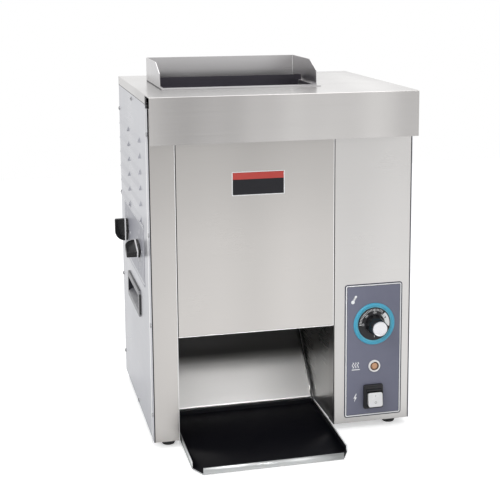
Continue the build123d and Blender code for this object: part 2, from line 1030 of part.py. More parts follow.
# ------------------------------------------------------------------ gear train
gear_radius = gear_pitch_diameter / 2
tip_radius = gear_radius + gear_module
root_radius = gear_radius - 1.25 * gear_module
base_radius = gear_radius * cos(radians(pressure_angle))
half_tooth = pi / (2 * gear_teeth) - gear_backlash / (4 * gear_radius)


def involute(radius):
    """Polar angle of the involute at a radius, counted from its start on the base circle."""
    slope = sqrt((radius / base_radius) ** 2 - 1)
    return slope - atan(slope)


def flank_angle(radius):
    """Half the angular thickness of a tooth at a radius."""
    at_pitch = involute(gear_radius)
    return half_tooth + at_pitch - involute(radius)


def polar(radius, angle):
    """A point in a gear's own plane."""
    return (radius * cos(angle), radius * sin(angle))


def gear_outline():
    """Closed outline of one spur gear, drawn tooth by tooth round the origin."""
    pitch_angle = 2 * pi / gear_teeth
    corners = []
    for tooth in range(gear_teeth):
        middle = tooth * pitch_angle
        corners.append(polar(root_radius, middle - flank_angle(base_radius)))
        corners.append(polar(tip_radius, middle - flank_angle(tip_radius)))
        corners.append(polar(tip_radius, middle + flank_angle(tip_radius)))
        corners.append(polar(root_radius, middle + flank_angle(base_radius)))
    with BuildSketch(Plane.XY) as outline:
        with BuildLine():
            Polyline(*corners, close=True)
        make_face()
    return outline.sketch


tooth_outline = gear_outline()
half_pitch = 180 / gear_teeth


def gear(y, z, turned, bore, shaft_length=0.0):
    """A spur gear on a plane facing +X; turned is in degrees about its own axis."""
    first_tooth = (0, cos(radians(turned)), sin(radians(turned)))
    place = Plane(origin=(gear_left, y, z), x_dir=first_tooth, z_dir=(1, 0, 0))
    with BuildPart() as wheel:
        with BuildSketch(place):
            add(tooth_outline)
        extrude(amount=gear_width)
        if bore:
            with BuildSketch(facing_side(gear_left)):
                with Locations((y, z)):
                    Circle(bore)
            extrude(amount=gear_width, mode=Mode.SUBTRACT)
        if shaft_length:
            with BuildSketch(facing_side(gear_left)):
                with Locations((y, z)):
                    Circle(stud_diameter / 2)
            extrude(amount=gear_width + shaft_length)
    return wheel


front_idler_y = front_conveyor + gear_pitch_diameter
rear_idler_y = rear_conveyor - gear_pitch_diameter
motor_y = rear_idler_y
motor_z = drive_height - gear_pitch_diameter
stud_bore = stud_diameter / 2 + shaft_clearance
front_drive_gear = gear(front_conveyor, drive_height, 0, shaft_radius + shaft_clearance)
save(front_drive_gear, "front_drive_gear")
front_idler_gear = gear(front_idler_y, drive_height, half_pitch, stud_bore)
save(front_idler_gear, "front_idler_gear")
rear_idler_gear = gear(rear_idler_y, drive_height, 0, stud_bore)
save(rear_idler_gear, "rear_idler_gear")
rear_drive_gear = gear(rear_conveyor, drive_height, half_pitch, shaft_radius + shaft_clearance)
save(rear_drive_gear, "rear_drive_gear")

motor_plate = gear_right + motor_plate_gap
motor_shaft = motor_plate_gap + sheet + gearbox_length / 2
motor_pinion = gear(motor_y, motor_z, half_pitch, 0, motor_shaft)
save(motor_pinion, "motor_pinion")

idler_places = [(front_idler_y, drive_height), (rear_idler_y, drive_height)]
with BuildPart() as gear_studs:
    with BuildSketch(facing_side(column_left)):
        with Locations(*idler_places):
            RegularPolygon(stud_collar, 6)
    extrude(amount=gear_standoff - soft_gap)
    with BuildSketch(facing_side(column_left)):
        with Locations(*idler_places):
            Circle(stud_diameter / 2)
    extrude(amount=gear_standoff + gear_width + 3.0)
save(gear_studs, "gear_studs")

motor_bracket_section = folded(
    level(motor_z - bracket_height * 0.75),
    [
        (column_left, motor_y - bracket_half_width - bracket_foot),
        (column_left, motor_y - bracket_half_width),
        (motor_plate, motor_y - bracket_half_width),
        (motor_plate, motor_y + bracket_half_width),
        (column_left, motor_y + bracket_half_width),
        (column_left, motor_y + bracket_half_width + bracket_foot),
    ],
    radius=0,
    side=Side.RIGHT,
)
with BuildPart() as motor_bracket:
    extrude(motor_bracket_section, amount=bracket_height)
    with BuildSketch(facing_side(motor_plate)):
        with Locations((motor_y, motor_z)):
            Circle(stud_diameter)
    extrude(amount=sheet, mode=Mode.SUBTRACT)
save(motor_bracket, "motor_bracket")

with BuildPart() as gearmotor:
    with BuildSketch(facing_side(motor_plate + sheet)):
        with Locations((motor_y, motor_z)):
            Rectangle(2 * motor_radius, 2 * motor_radius)
            Circle(stud_bore, mode=Mode.SUBTRACT)
    extrude(amount=gearbox_length * 0.7)
    with BuildSketch(facing_side(motor_plate + sheet + gearbox_length * 0.7)):
        with Locations((motor_y, motor_z)):
            Rectangle(2 * motor_radius, 2 * motor_radius)
    extrude(amount=gearbox_length * 0.3)
    with BuildSketch(facing_side(motor_plate + sheet + gearbox_length)):
        with Locations((motor_y, motor_z)):
            Circle(motor_can_radius)
    extrude(amount=motor_can_length)
save(gearmotor, "gearmotor")


# ------------------------------------------------------------------ compression cams
def snail_cam(x, y, towards, setting):
    """Sketch of a cam whose radius grows evenly with its angle.

    towards is the follower's direction in degrees and setting the cam's present turn.
    """
    first = towards - (cam_sweep - setting)
    last = towards + setting
    steps = 6
    points = []
    for i in range(steps + 1):
        angle = first + (last - first) * i / steps
        radius = cam_low_radius + cam_rate * (cam_sweep * (1 - i / steps))
        points.append((radius * cos(radians(angle)), radius * sin(radians(angle))))
    with BuildSketch(Plane(origin=(x, y, cam_height), x_dir=(0, 1, 0), z_dir=(1, 0, 0))) as shape:
        with BuildLine():
            for i in range(0, steps, 2):
                ThreePointArc(*points[i : i + 3])
            Line(points[-1], points[0])
        make_face()
    return shape.sketch


cam_stations = (bay_left + cam_margin, bay_right - cam_margin - cam_thickness)


def camshaft(y, towards, setting):
    """An adjusting shaft with a snail cam near each end."""
    profiles = [snail_cam(x, y, towards, setting) for x in cam_stations]
    start = left - knob_gap - knob_height * 0.6
    with BuildPart() as shaft:
        with BuildSketch(facing_side(start)):
            with Locations((y, cam_height)):
                Circle(cam_radius)
        extrude(amount=column_left + bearing_thickness + shaft_tail - start)
        for profile in profiles:
            extrude(profile, amount=cam_thickness)
    return shaft


front_camshaft = camshaft(front_cam, 0, front_cam_setting)
save(front_camshaft, "front_camshaft")
rear_camshaft = camshaft(rear_cam, 180, rear_cam_setting)
save(rear_camshaft, "rear_camshaft")


def pressure_plate(face, towards, cam_y, setting):
    """A channel that backs a belt, with cam pads behind it and tongues that run in the walls."""
    low, high = base + press_bottom, base + press_top
    points = [
        (face - towards * press_flange, low),
        (face, low),
        (face, high),
        (face - towards * press_flange, high),
    ]
    side = Side.LEFT if towards > 0 else Side.RIGHT
    section = folded(facing_side(bay_left + press_end_gap), points, side=side)
    skin = sorted((face, face - towards * sheet))
    pad_end = cam_y + towards * (cam_low_radius + cam_rate * setting + follower_gap)
    pad = sorted((pad_end, face - towards * sheet))
    with BuildPart() as plate:
        extrude(section, amount=bay_width - 2 * press_end_gap)
        for z in tongue_places:
            slab(
                (wall_left - sheet - tongue_reach, wall_right + sheet + tongue_reach),
                skin,
                (z - tongue_height / 2, z + tongue_height / 2),
            )
        for x in cam_stations:
            middle = x + cam_thickness / 2
            slab(
                (middle - pad_width / 2, middle + pad_width / 2),
                pad,
                (cam_height - pad_height / 2, cam_height + pad_height / 2),
            )
    return plate


front_pressure_plate = pressure_plate(front_press_face, 1, front_cam, front_cam_setting)
save(front_pressure_plate, "front_pressure_plate")
rear_pressure_plate = pressure_plate(rear_press_face, -1, rear_cam, rear_cam_setting)
save(rear_pressure_plate, "rear_pressure_plate")


def adjusting_knob(y, turned):
    """A wing knob, square at its pointing end and swept back at the other."""
    pointer = (0, -sin(radians(turned)), cos(radians(turned)))
    across = (0, cos(radians(turned)), sin(radians(turned)))
    place = Plane(origin=(left, y, cam_height), x_dir=pointer, z_dir=across)
    rise = 1 if place.y_dir.X < 0 else -1
    half = knob_length / 2
    inner = rise * knob_gap
    outer = rise * knob_reach
    with BuildPart() as knob:
        with BuildSketch(place):
            with BuildLine():
                Line((half, inner), (half, outer))
                Line((half, outer), (knob_round - half, outer))
                arc_middle = (
                    knob_round - half - knob_round * sin(pi / 4),
                    outer - rise * (knob_height - 2.0) * (1 - cos(pi / 4)),
                )
                ThreePointArc((knob_round - half, outer), arc_middle, (-half, inner + rise * 2.0))
                Line((-half, inner + rise * 2.0), (-half, inner))
                Line((-half, inner), (half, inner))
            make_face()
        extrude(amount=knob_thickness / 2, both=True)
        outer_edges = knob.faces().sort_by(Axis.X)[0].edges()
        chamfer(outer_edges, 1.2)
        foot_plane = Plane(origin=(left - knob_gap, y, cam_height), x_dir=pointer, z_dir=(-1, 0, 0))
        with BuildSketch(foot_plane) as foot:
            Rectangle(knob_length, knob_foot_width)
            chamfer(foot.vertices(), knob_foot_corner)
        extrude(amount=knob_foot)
        with BuildSketch(facing_side(left - knob_gap)):
            with Locations((y, cam_height)):
                Circle(knob_hub)
        extrude(amount=knob_gap + sheet + soft_gap)
        with BuildSketch(facing_side(left + sheet + soft_gap)):
            with Locations((y, cam_height)):
                Circle(cam_radius + shaft_clearance)
        extrude(amount=-(sheet + soft_gap + knob_gap + knob_height * 0.6 + 0.5), mode=Mode.SUBTRACT)
    return knob


front_compression_knob = adjusting_knob(front_cam, front_cam_setting)
save(front_compression_knob, "front_compression_knob")
rear_compression_knob = adjusting_knob(rear_cam, rear_cam_setting)
save(rear_compression_knob, "rear_compression_knob")

# ------------------------------------------------------------------ slide
slide_left = bay_left + slide_side_gap
slide_right = bay_right - slide_side_gap
slide_nose = front + slide_foot
slide_rear = back - 2 * sheet
slide_climb = (slide_rear - slide_nose) * tan(radians(slide_angle))
slide_high = floor_top + slide_climb
slide_section = folded(
    facing_side(slide_left),
    [
        (slide_nose + slide_foot_length, floor_top),
        (slide_nose, floor_top),
        (slide_rear, slide_high),
        (slide_rear, slide_high + slide_top_flange),
    ],
    side=Side.RIGHT,
)
flange_rise = slide_flange / cos(radians(slide_angle))
flange_start = 6.0
with BuildPart() as bun_slide:
    extrude(slide_section, amount=slide_right - slide_left)
    for x in (slide_left, slide_right - sheet):
        with BuildSketch(facing_side(x)):
            with BuildLine():
                Polyline(
                    (slide_nose + flange_start, floor_top + flange_start - sheet),
                    (slide_nose + flange_start, floor_top + flange_start + flange_rise * 0.6),
                    (slide_nose + flange_start + flange_rise * 0.4, floor_top + flange_start + flange_rise * 1.4),
                    (slide_rear - flange_start, slide_high - flange_start + flange_rise),
                    (slide_rear - flange_start, slide_high - flange_start - sheet),
                    close=True,
                )
            make_face()
        extrude(amount=sheet)
save(bun_slide, "bun_slide")

# ------------------------------------------------------------------ landing tray
tray_half = bay_width / 2 - tray_side_gap
tray_length = (tray_rear + tray_reach) / cos(tray_tilt)
tray_plane = Plane(
    origin=(bay_middle, tray_start, tray_floor_clearance),
    x_dir=(1, 0, 0),
    z_dir=(0, -sin(tray_tilt), cos(tray_tilt)),
)
lip_half = tray_half - tray_corner_width
with BuildPart() as landing_tray:
    with BuildSketch(tray_plane):
        with BuildLine():
            Polyline(
                (-lip_half, 0),
                (lip_half, 0),
                (tray_half, tray_corner_depth),
                (tray_half, tray_length),
                (-tray_half, tray_length),
                (-tray_half, tray_corner_depth),
                close=True,
            )
        make_face()
    extrude(amount=sheet)
    with BuildSketch(tray_plane):
        area(-lip_half, lip_half, 0, sheet)
    extrude(amount=tray_lip)
    lip_corners = landing_tray.edges().group_by(Axis.Y)[0].filter_by(
        lambda edge: edge.length < 2 * sheet
    )
    with BuildSketch(tray_plane):
        for x in (-tray_half, tray_half - sheet):
            area(x, x + sheet, tray_corner_depth, tray_length)
    extrude(amount=tray_flange)
save(landing_tray, "landing_tray")

# ------------------------------------------------------------------ control panel
panel_middle = (overlay_left + overlay_width / 2, overlay_low + overlay_height / 2)
with BuildPart() as control_overlay:
    with BuildSketch(facing_front(front)):
        with Locations(panel_middle):
            RectangleRounded(overlay_width, overlay_height, overlay_corner)
        with Locations((thermostat_x, thermostat_z)):
            Circle(spindle_diameter, mode=Mode.SUBTRACT)
        with Locations((indicator_x, indicator_z)):
            Rectangle(
                lamp_barrel + 2 * soft_gap,
                lamp_barrel + 2 * soft_gap,
                mode=Mode.SUBTRACT,
            )
        with Locations((power_x, power_z)):
            Rectangle(
                switch_width - 2 * switch_step + 2 * soft_gap,
                switch_height - 2 * switch_step + 2 * soft_gap,
                mode=Mode.SUBTRACT,
            )
    extrude(amount=overlay_thickness)
save(control_overlay, "control_overlay")

with BuildPart() as thermostat_bezel:
    with BuildSketch(facing_front(overlay_front)):
        with Locations((thermostat_x, thermostat_z)):
            Circle(bezel_diameter / 2)
            Circle(dial_diameter / 2 + 2 * soft_gap, mode=Mode.SUBTRACT)
    extrude(amount=bezel_thickness)
save(thermostat_bezel, "thermostat_bezel")

dial_back = overlay_front - dial_gap
dial_front = dial_back - dial_thickness
with BuildPart() as thermostat_dial:
    with BuildSketch(facing_front(dial_back)):
        with Locations((thermostat_x, thermostat_z)):
            Circle(dial_diameter / 2)
            Circle(spindle_diameter / 2 + shaft_clearance, mode=Mode.SUBTRACT)
    extrude(amount=dial_thickness)
save(thermostat_dial, "thermostat_dial")

grip_front = dial_front - grip_height
with BuildPart() as thermostat_knob:
    with BuildSketch(facing_front(dial_front)):
        with Locations((thermostat_x, thermostat_z)):
            RegularPolygon(grip_diameter / 2, 8, rotation=22.5)
    with BuildSketch(facing_front(grip_front)):
        with Locations((thermostat_x, thermostat_z)):
            RegularPolygon(grip_top_diameter / 2, 8, rotation=22.5)
    loft(ruled=True)
    with BuildSketch(facing_front(dial_front)):
        with Locations((thermostat_x, thermostat_z)):
            Circle(spindle_diameter / 2 + shaft_clearance)
    extrude(amount=grip_height * 0.6, mode=Mode.SUBTRACT)
save(thermostat_knob, "thermostat_knob")

with BuildPart() as knob_cap:
    with BuildSketch(facing_front(grip_front)):
        with Locations((thermostat_x, thermostat_z)):
            Circle(cap_diameter / 2)
    extrude(amount=cap_thickness)
save(knob_cap, "knob_cap")

thermostat_back = front + sheet
nut_length = 1.0
with BuildPart() as thermostat_body:
    slab(
        (thermostat_x - 19.0, thermostat_x + 19.0),
        (thermostat_back, thermostat_back + 24.0),
        (thermostat_z - 21.0, thermostat_z + 21.0),
    )
    body_corners = thermostat_body.edges().filter_by(Axis.Y)
    chamfer(body_corners, 5.0)
    with BuildSketch(facing_front(front - overlay_thickness)):
        with Locations((thermostat_x, thermostat_z)):
            Circle(spindle_diameter / 2 + shaft_clearance)
    extrude(amount=-(sheet + overlay_thickness + 12.0), mode=Mode.SUBTRACT)
save(thermostat_body, "thermostat_body")

with BuildPart() as thermostat_spindle:
    with BuildSketch(facing_front(thermostat_back + 10.0)):
        with Locations((thermostat_x, thermostat_z)):
            Circle(spindle_diameter / 2)
    spindle_end = dial_front - grip_height * 0.5
    extrude(amount=thermostat_back + 10.0 - spindle_end)
save(thermostat_spindle, "thermostat_spindle")

with BuildPart() as lamp_bezel:
    with BuildSketch(facing_front(overlay_front)):
        with Locations((indicator_x, indicator_z)):
            Circle(lamp_bezel_diameter / 2)
    extrude(amount=3.0)
    with BuildSketch(facing_front(overlay_front)):
        with Locations((indicator_x, indicator_z)):
            Rectangle(lamp_barrel, lamp_barrel)
    extrude(amount=-24.0)
    with BuildSketch(facing_front(overlay_front - 3.0)):
        with Locations((indicator_x, indicator_z)):
            Circle(lamp_lens_diameter / 2 + element_fit)
    extrude(amount=-5.0, mode=Mode.SUBTRACT)
save(lamp_bezel, "lamp_bezel")

with BuildPart() as lamp_lens:
    with BuildSketch(facing_front(overlay_front + 2.0)):
        with Locations((indicator_x, indicator_z)):
            Circle(lamp_lens_diameter / 2)
    extrude(amount=4.5)
save(lamp_lens, "lamp_lens")

rocker_pivot_y = overlay_front - switch_flange
pivot_half = rocker_width / 2 + rocker_gap + pivot_reach
with BuildPart() as switch_housing:
    with BuildSketch(facing_front(overlay_front)):
        with Locations((power_x, power_z)):
            RectangleRounded(switch_width, switch_height, 2.5)
    extrude(amount=switch_flange)
    with BuildSketch(facing_front(overlay_front - switch_flange)):
        with Locations((power_x, power_z)):
            RectangleRounded(
                rocker_width + 2 * rocker_gap + 3.0, rocker_height + 2 * rocker_gap + 5.0, 2.0
            )
    extrude(amount=switch_proud - switch_flange)
    with BuildSketch(facing_front(overlay_front)):
        with Locations((power_x, power_z)):
            Rectangle(switch_width - 2 * switch_step, switch_height - 2 * switch_step)
    extrude(amount=-switch_depth)
    with BuildSketch(facing_front(overlay_front - switch_proud)):
        with Locations((power_x, power_z)):
            Rectangle(rocker_width + 2 * rocker_gap, rocker_height + 2 * rocker_gap + 1.2)
    extrude(amount=-(switch_proud + 1.0), mode=Mode.SUBTRACT)
    with BuildSketch(facing_side(power_x - pivot_half - 0.3)):
        with Locations((rocker_pivot_y, power_z)):
            Circle(pivot_diameter / 2 + shaft_clearance)
    extrude(amount=2 * (pivot_half + 0.3), mode=Mode.SUBTRACT)
save(switch_housing, "switch_housing")

rocker_axis = (power_x, rocker_pivot_y, power_z)
rocker_back = 4.5
rocker_front = overlay_front - rocker_proud
rocker_plane = Plane(origin=rocker_axis, x_dir=(1, 0, 0), z_dir=(0, -1, 0)).rotated((rocker_tilt, 0, 0))
with BuildPart(rocker_plane) as switch_rocker:
    with BuildSketch(rocker_plane.offset(-rocker_back)):
        Rectangle(rocker_width, rocker_height - 1.5)
    extrude(amount=rocker_back + rocker_pivot_y - rocker_front)
    chamfer(switch_rocker.faces().sort_by(Axis.Y)[0].edges(), 1.2)
    with BuildSketch(facing_side(power_x - pivot_half)):
        with Locations((rocker_pivot_y, power_z)):
            Circle(pivot_diameter / 2)
    extrude(amount=2 * pivot_half)
save(switch_rocker, "switch_rocker")

# ------------------------------------------------------------------ wiring block
block_back = back - block_from_back
block_x = (gland_x - block_length / 2, gland_x + block_length / 2)
block_y = (block_back - block_width, block_back)
with BuildPart() as terminal_block:
    slab(block_x, block_y, (floor_top, floor_top + block_height))
    with BuildSketch(level(floor_top + block_height)):
        with Locations((gland_x, block_back - block_width / 2)):
            with GridLocations(way_pitch, way_pitch, block_ways, 1):
                Rectangle(way_width, way_length)
    extrude(amount=-way_depth, mode=Mode.SUBTRACT)
save(terminal_block, "terminal_block")
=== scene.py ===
# %% [markdown]
# # A vertical conveyor toaster for bun halves
#
# The machine is a box of folded stainless sheet. Buns go in through two slots on top, two
# belts draw them down past a hot platen, and they slide out onto a black tray. The frame
# below already holds every sheet, shaft and gear at its real size, so this lesson is about
# finish: brushed steel that reads as steel, moulded knobs, printed panels and small screws.
# The scene is in metres, +Z is up and the front looks along -Y.

import json
import math

import bmesh
import bpy
from mathutils import Matrix, Vector


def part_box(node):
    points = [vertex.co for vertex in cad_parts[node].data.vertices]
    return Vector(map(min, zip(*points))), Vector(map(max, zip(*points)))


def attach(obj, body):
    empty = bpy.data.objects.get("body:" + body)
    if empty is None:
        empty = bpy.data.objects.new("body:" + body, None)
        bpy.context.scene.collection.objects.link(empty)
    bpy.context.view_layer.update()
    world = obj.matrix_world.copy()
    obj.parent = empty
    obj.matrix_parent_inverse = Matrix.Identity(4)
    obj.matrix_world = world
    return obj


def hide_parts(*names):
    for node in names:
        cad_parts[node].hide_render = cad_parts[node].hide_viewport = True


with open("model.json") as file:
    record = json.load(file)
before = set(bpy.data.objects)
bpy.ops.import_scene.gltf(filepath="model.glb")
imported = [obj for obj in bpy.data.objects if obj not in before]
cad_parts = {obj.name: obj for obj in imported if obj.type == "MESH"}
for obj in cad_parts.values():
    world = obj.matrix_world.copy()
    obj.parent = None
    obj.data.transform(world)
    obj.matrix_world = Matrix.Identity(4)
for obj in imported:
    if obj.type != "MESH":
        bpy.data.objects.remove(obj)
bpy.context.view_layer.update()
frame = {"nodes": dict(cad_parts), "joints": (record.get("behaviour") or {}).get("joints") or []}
scene = bpy.context.scene
nodes = frame["nodes"]

# %% [markdown]
# ## Camera
#
# A product picture of a tall machine is usually taken with a long lens from a little above.
# Upright lines stay nearly upright because the lens is shifted down instead of tilted far.
# The camera here stands left of the front, nearly two metres away.

# %% camera
CAMERA_PLACE = (-0.43068, -1.83334, 0.72857)
VIEW_YAW = math.radians(14.951)
VIEW_PITCH = math.radians(9.741)
VIEW_ROLL = math.radians(-0.066)

camera_data = bpy.data.cameras.new("camera")
camera_data.sensor_width = 36.0
camera_data.lens = 83.514
camera_data.shift_x = -0.0855
camera_data.shift_y = -0.1516
camera_data.clip_start = 0.05
camera_data.clip_end = 40.0
camera = bpy.data.objects.new("camera", camera_data)
scene.collection.objects.link(camera)
level = Vector((math.sin(VIEW_YAW), math.cos(VIEW_YAW), 0.0))
ahead = level * math.cos(VIEW_PITCH) - Vector((0.0, 0.0, math.sin(VIEW_PITCH)))
level_right = Vector((level.y, -level.x, 0.0))
level_up = level_right.cross(ahead)
right = level_right * math.cos(VIEW_ROLL) + level_up * math.sin(VIEW_ROLL)
up = level_up * math.cos(VIEW_ROLL) - level_right * math.sin(VIEW_ROLL)
turn = Matrix((right, up, -ahead)).transposed().to_4x4()
camera.matrix_world = Matrix.Translation(CAMERA_PLACE) @ turn
scene.camera = camera
scene.view_settings.view_transform = "Standard"
print("camera at", [round(v, 3) for v in camera.location])

# %% [markdown]
# ## Helpers for nodes and objects
#
# A node is described by its kind and by what goes into it: a socket is linked and a value is
# set. A bmesh becomes an object at the origin, and its material slots are filled from the
# finishes by name.

# %% node and object helpers
finishes = {}


def add_node(tree, kind, inputs=None, **settings):
    """A shader node; each input given here is a socket to link or a value to set."""
    node = tree.nodes.new("ShaderNode" + kind)
    for label, value in settings.items():
        setattr(node, label, value)
    for label, value in (inputs or {}).items():
        if isinstance(value, bpy.types.NodeSocket):
            tree.links.new(value, node.inputs[label])
        else:
            node.inputs[label].default_value = value
    return node


def maths(tree, operation, *values):
    """One Math node; each of its inputs is a socket or a number."""
    return add_node(tree, "Math", dict(enumerate(values)), operation=operation).outputs[0]


def object_place(tree):
    """Object coordinates, in metres."""
    return add_node(tree, "TexCoord").outputs["Object"]


def mesh_object(name, shape, materials, sharp=None):
    """Makes a bmesh an object; it is shaded smooth where its angles are under sharp degrees."""
    mesh = bpy.data.meshes.new(name)
    shape.to_mesh(mesh)
    shape.free()
    for material in materials:
        mesh.materials.append(finishes[material])
    if sharp is not None:
        mesh.polygons.foreach_set("use_smooth", [True] * len(mesh.polygons))
        mesh.set_sharp_from_angle(angle=math.radians(sharp))
    made = bpy.data.objects.new(name, mesh)
    scene.collection.objects.link(made)
    return made


print("node and object helpers ready")

# %% [markdown]
# ## Studio
#
# Steel has no colour of its own: it shows the room. A white room that only the camera and
# the reflections see gives a clean page, and the lamps then light the object at a plain
# level. The floor glows a little for the same rays, and still darkens under the machine. In
# the reflections the glow stops under the machine and comes back slowly behind it, so the
# side panel gets darker towards its foot.

# %% studio: world and floor
WHITE = (1.0, 1.0, 1.0, 1.0)
ROOM_LIGHT = 0.5
EYE_GLOW = 0.5
MIRROR_GLOW = ((0.0, 0.5), (0.07, 0.5), (0.09, 0.0), (1.0, 0.42))
GLOW_FROM, GLOW_TO = -0.4, 2.4
FLOOR_HALF = 2.4
FLOOR_DROP = 0.0003


def ray_mask(tree, kind):
    """A mask of the rays of one kind: Camera sees directly, Glossy sees in a mirror."""
    return add_node(tree, "LightPath").outputs[f"Is {kind} Ray"]


def between(tree, mask, low, high):
    """A number that is low where the mask is 0 and high where it is 1."""
    ramp = add_node(tree, "MapRange", {"Value": mask, "To Min": low, "To Max": high})
    return ramp.outputs["Result"]


room = bpy.data.worlds.new("white_room")
room.use_nodes = True
scene.world = room
tree = room.node_tree
sky = tree.nodes["Background"]
sky.inputs["Color"].default_value = WHITE
seen = maths(tree, "MAXIMUM", ray_mask(tree, "Camera"), ray_mask(tree, "Glossy"))
tree.links.new(between(tree, seen, ROOM_LIGHT, 1.0), sky.inputs["Strength"])

floor_paint = bpy.data.materials.new("studio_floor")
finishes["studio_floor"] = floor_paint
floor_paint.use_nodes = True
tree = floor_paint.node_tree
shader = tree.nodes["Principled BSDF"]
shader.inputs["Base Color"].default_value = (0.9, 0.9, 0.9, 1.0)
shader.inputs["Roughness"].default_value = 0.95
shader.inputs["Emission Color"].default_value = WHITE
depth = add_node(tree, "SeparateXYZ", {0: object_place(tree)}).outputs["Y"]
behind = add_node(tree, "MapRange", {"Value": depth, "From Min": GLOW_FROM, "From Max": GLOW_TO})
mirrored = add_node(tree, "ValToRGB", {"Fac": behind.outputs["Result"]})
stops = mirrored.color_ramp.elements
for position, _ in MIRROR_GLOW[1:-1]:
    stops.new(position)
for stop, (_, glow) in zip(stops, MIRROR_GLOW):
    stop.color = (glow, glow, glow, 1.0)
in_mirrors = maths(tree, "MULTIPLY", ray_mask(tree, "Glossy"), mirrored.outputs["Color"])
to_the_eye = between(tree, ray_mask(tree, "Camera"), 0.0, EYE_GLOW)
glow = maths(tree, "MAXIMUM", in_mirrors, to_the_eye)
tree.links.new(glow, shader.inputs["Emission Strength"])

ground = bmesh.new()
bmesh.ops.create_grid(ground, x_segments=1, y_segments=1, size=FLOOR_HALF)
bmesh.ops.translate(ground, verts=ground.verts, vec=(0.0, 0.0, -FLOOR_DROP))
studio_floor = mesh_object("studio_floor", ground, ["studio_floor"])
print("floor at z =", round(studio_floor.bound_box[0][2], 4))

# %% studio: lamps


def add_light(name, kind, place, target, watts, **settings):
    """A lamp at place that looks at target."""
    data = bpy.data.lights.new(name, kind)
    data.energy = watts
    for label, value in settings.items():
        setattr(data, label, value)
    holder = bpy.data.objects.new(name, data)
    scene.collection.objects.link(holder)
    holder.location = place
    towards = Vector(target) - Vector(place)
    holder.rotation_euler = towards.to_track_quat("-Z", "Y").to_euler()
    print(name, watts, "W")


def softbox(name, place, target, width, height, watts):
    """A soft rectangular lamp."""
    sides = {"shape": "RECTANGLE", "size": width, "size_y": height}
    add_light(name, "AREA", place, target, watts, **sides)


softbox("key_lamp", (-1.9, -1.5, 2.1), (0.0, 0.0, 0.3), 1.6, 1.6, 34.0)
softbox("fill_lamp", (1.9, -1.9, 1.3), (0.0, 0.0, 0.3), 1.4, 1.4, 12.0)
softbox("top_lamp", (0.2, 0.7, 2.4), (0.0, 0.1, 0.4), 1.8, 1.8, 20.0)
softbox("back_panel", (1.0, 2.6, 1.15), (0.3, 0.0, 0.55), 1.9, 1.2, 1.1)
beam = {"shadow_soft_size": 0.12, "spot_size": math.radians(11.0), "spot_blend": 0.5}
add_light("bay_spot", "SPOT", (-0.05, -1.45, 1.04), (-0.04, 0.0, 0.07), 84.0, **beam)

# %% [markdown]
# ## Effects that several finishes share
#
# Each effect is one node group with named sockets. It puts out only colours, values and
# heights, and every material wires those into its own shader. All of them read Object
# coordinates, so a pattern is sized in metres and stays on the piece.

# %% group helpers
SOCKET_KINDS = {1: "NodeSocketFloat", 3: "NodeSocketVector", 4: "NodeSocketColor"}
OUTPUTS = (("Color", 4), ("Roughness", 1), ("Height", 1))


def new_group(name, inputs):
    """A node group with named inputs; returns it with its given sockets and its outputs."""
    group = bpy.data.node_groups.new(name, "ShaderNodeTree")
    for label, value in inputs.items():
        kind = SOCKET_KINDS[1 if isinstance(value, float) else len(value)]
        socket = group.interface.new_socket(label, in_out="INPUT", socket_type=kind)
        socket.default_value = value
    for label, size in OUTPUTS:
        group.interface.new_socket(label, in_out="OUTPUT", socket_type=SOCKET_KINDS[size])
    given = group.nodes.new("NodeGroupInput").outputs
    return group, given, group.nodes.new("NodeGroupOutput").inputs


def put_out(group, made, *sockets):
    """Wires the colour, the roughness and the height that an effect makes."""
    for (label, _), socket in zip(OUTPUTS, sockets):
        group.links.new(socket, made[label])
    print(group.name, "nodes:", len(group.nodes))


def noise(tree, scale, detail):
    """Noise on Object coordinates; scale is a vector socket or three numbers per metre."""
    stretch = add_node(tree, "Mapping", {"Vector": object_place(tree), "Scale": scale})
    place = stretch.outputs["Vector"]
    grain = add_node(tree, "TexNoise", {"Vector": place, "Scale": 1.0, "Detail": detail})
    return grain.outputs["Fac"]


def tinted(tree, colour, level):
    """The colour made lighter or darker by a level round 1."""
    scaled = add_node(tree, "VectorMath", operation="SCALE", inputs={0: colour, "Scale": level})
    return scaled.outputs[0]


def mixed(tree, factor, first, second):
    """A blend of two colours."""
    mix = {"Factor": factor, "A": first, "B": second}
    return add_node(tree, "Mix", mix, data_type="RGBA").outputs["Result"]


print("group helpers ready")

# %% [markdown]
# ### Brushed grain
#
# Sheet makers draw an abrasive belt along the sheet. What is left is thousands of fine
# scratches in one direction, and on top of them wide soft bands where the sheet is not
# quite flat. Stretched noise gives both: very fine across the scratches and long along them.
# A sheet can also be darkened above a certain height: painted shade, where parts above it keep the
# light off.

# %% brushed grain
brushed, given, made = new_group(
    "brushed_grain",
    {
        "Tint": (0.5, 0.5, 0.5, 1.0),
        "Grain Scale": (6.0, 900.0, 900.0),
        "Band Scale": (7.0, 7.0, 0.5),
        "Grain Depth": 0.1,
        "Band Depth": 0.12,
        "Roughness": 0.3,
        "Soot From": 10.0,
        "Soot Slope": 50.0,
        "Soot": 0.0,
    },
)
scratch = noise(brushed, given["Grain Scale"], 3.0)
band = noise(brushed, given["Band Scale"], 1.0)
haze = noise(brushed, (9.0, 9.0, 9.0), 3.0)
scratch_level = maths(brushed, "SUBTRACT", scratch, 0.5)
band_level = maths(brushed, "SUBTRACT", band, 0.5)
haze_level = maths(brushed, "SUBTRACT", haze, 0.5)
level = maths(brushed, "MULTIPLY_ADD", scratch_level, given["Grain Depth"], 1.0)
level = maths(brushed, "MULTIPLY_ADD", band_level, given["Band Depth"], level)
height = add_node(brushed, "SeparateXYZ", {0: object_place(brushed)}).outputs["Z"]
# Painted shade: the colour is darkened above a given height, ramping up over a given slope.
above = maths(brushed, "SUBTRACT", height, given["Soot From"])
above = maths(brushed, "MULTIPLY", above, given["Soot Slope"])
shade_mask = add_node(brushed, "Clamp", {"Value": above}).outputs[0]
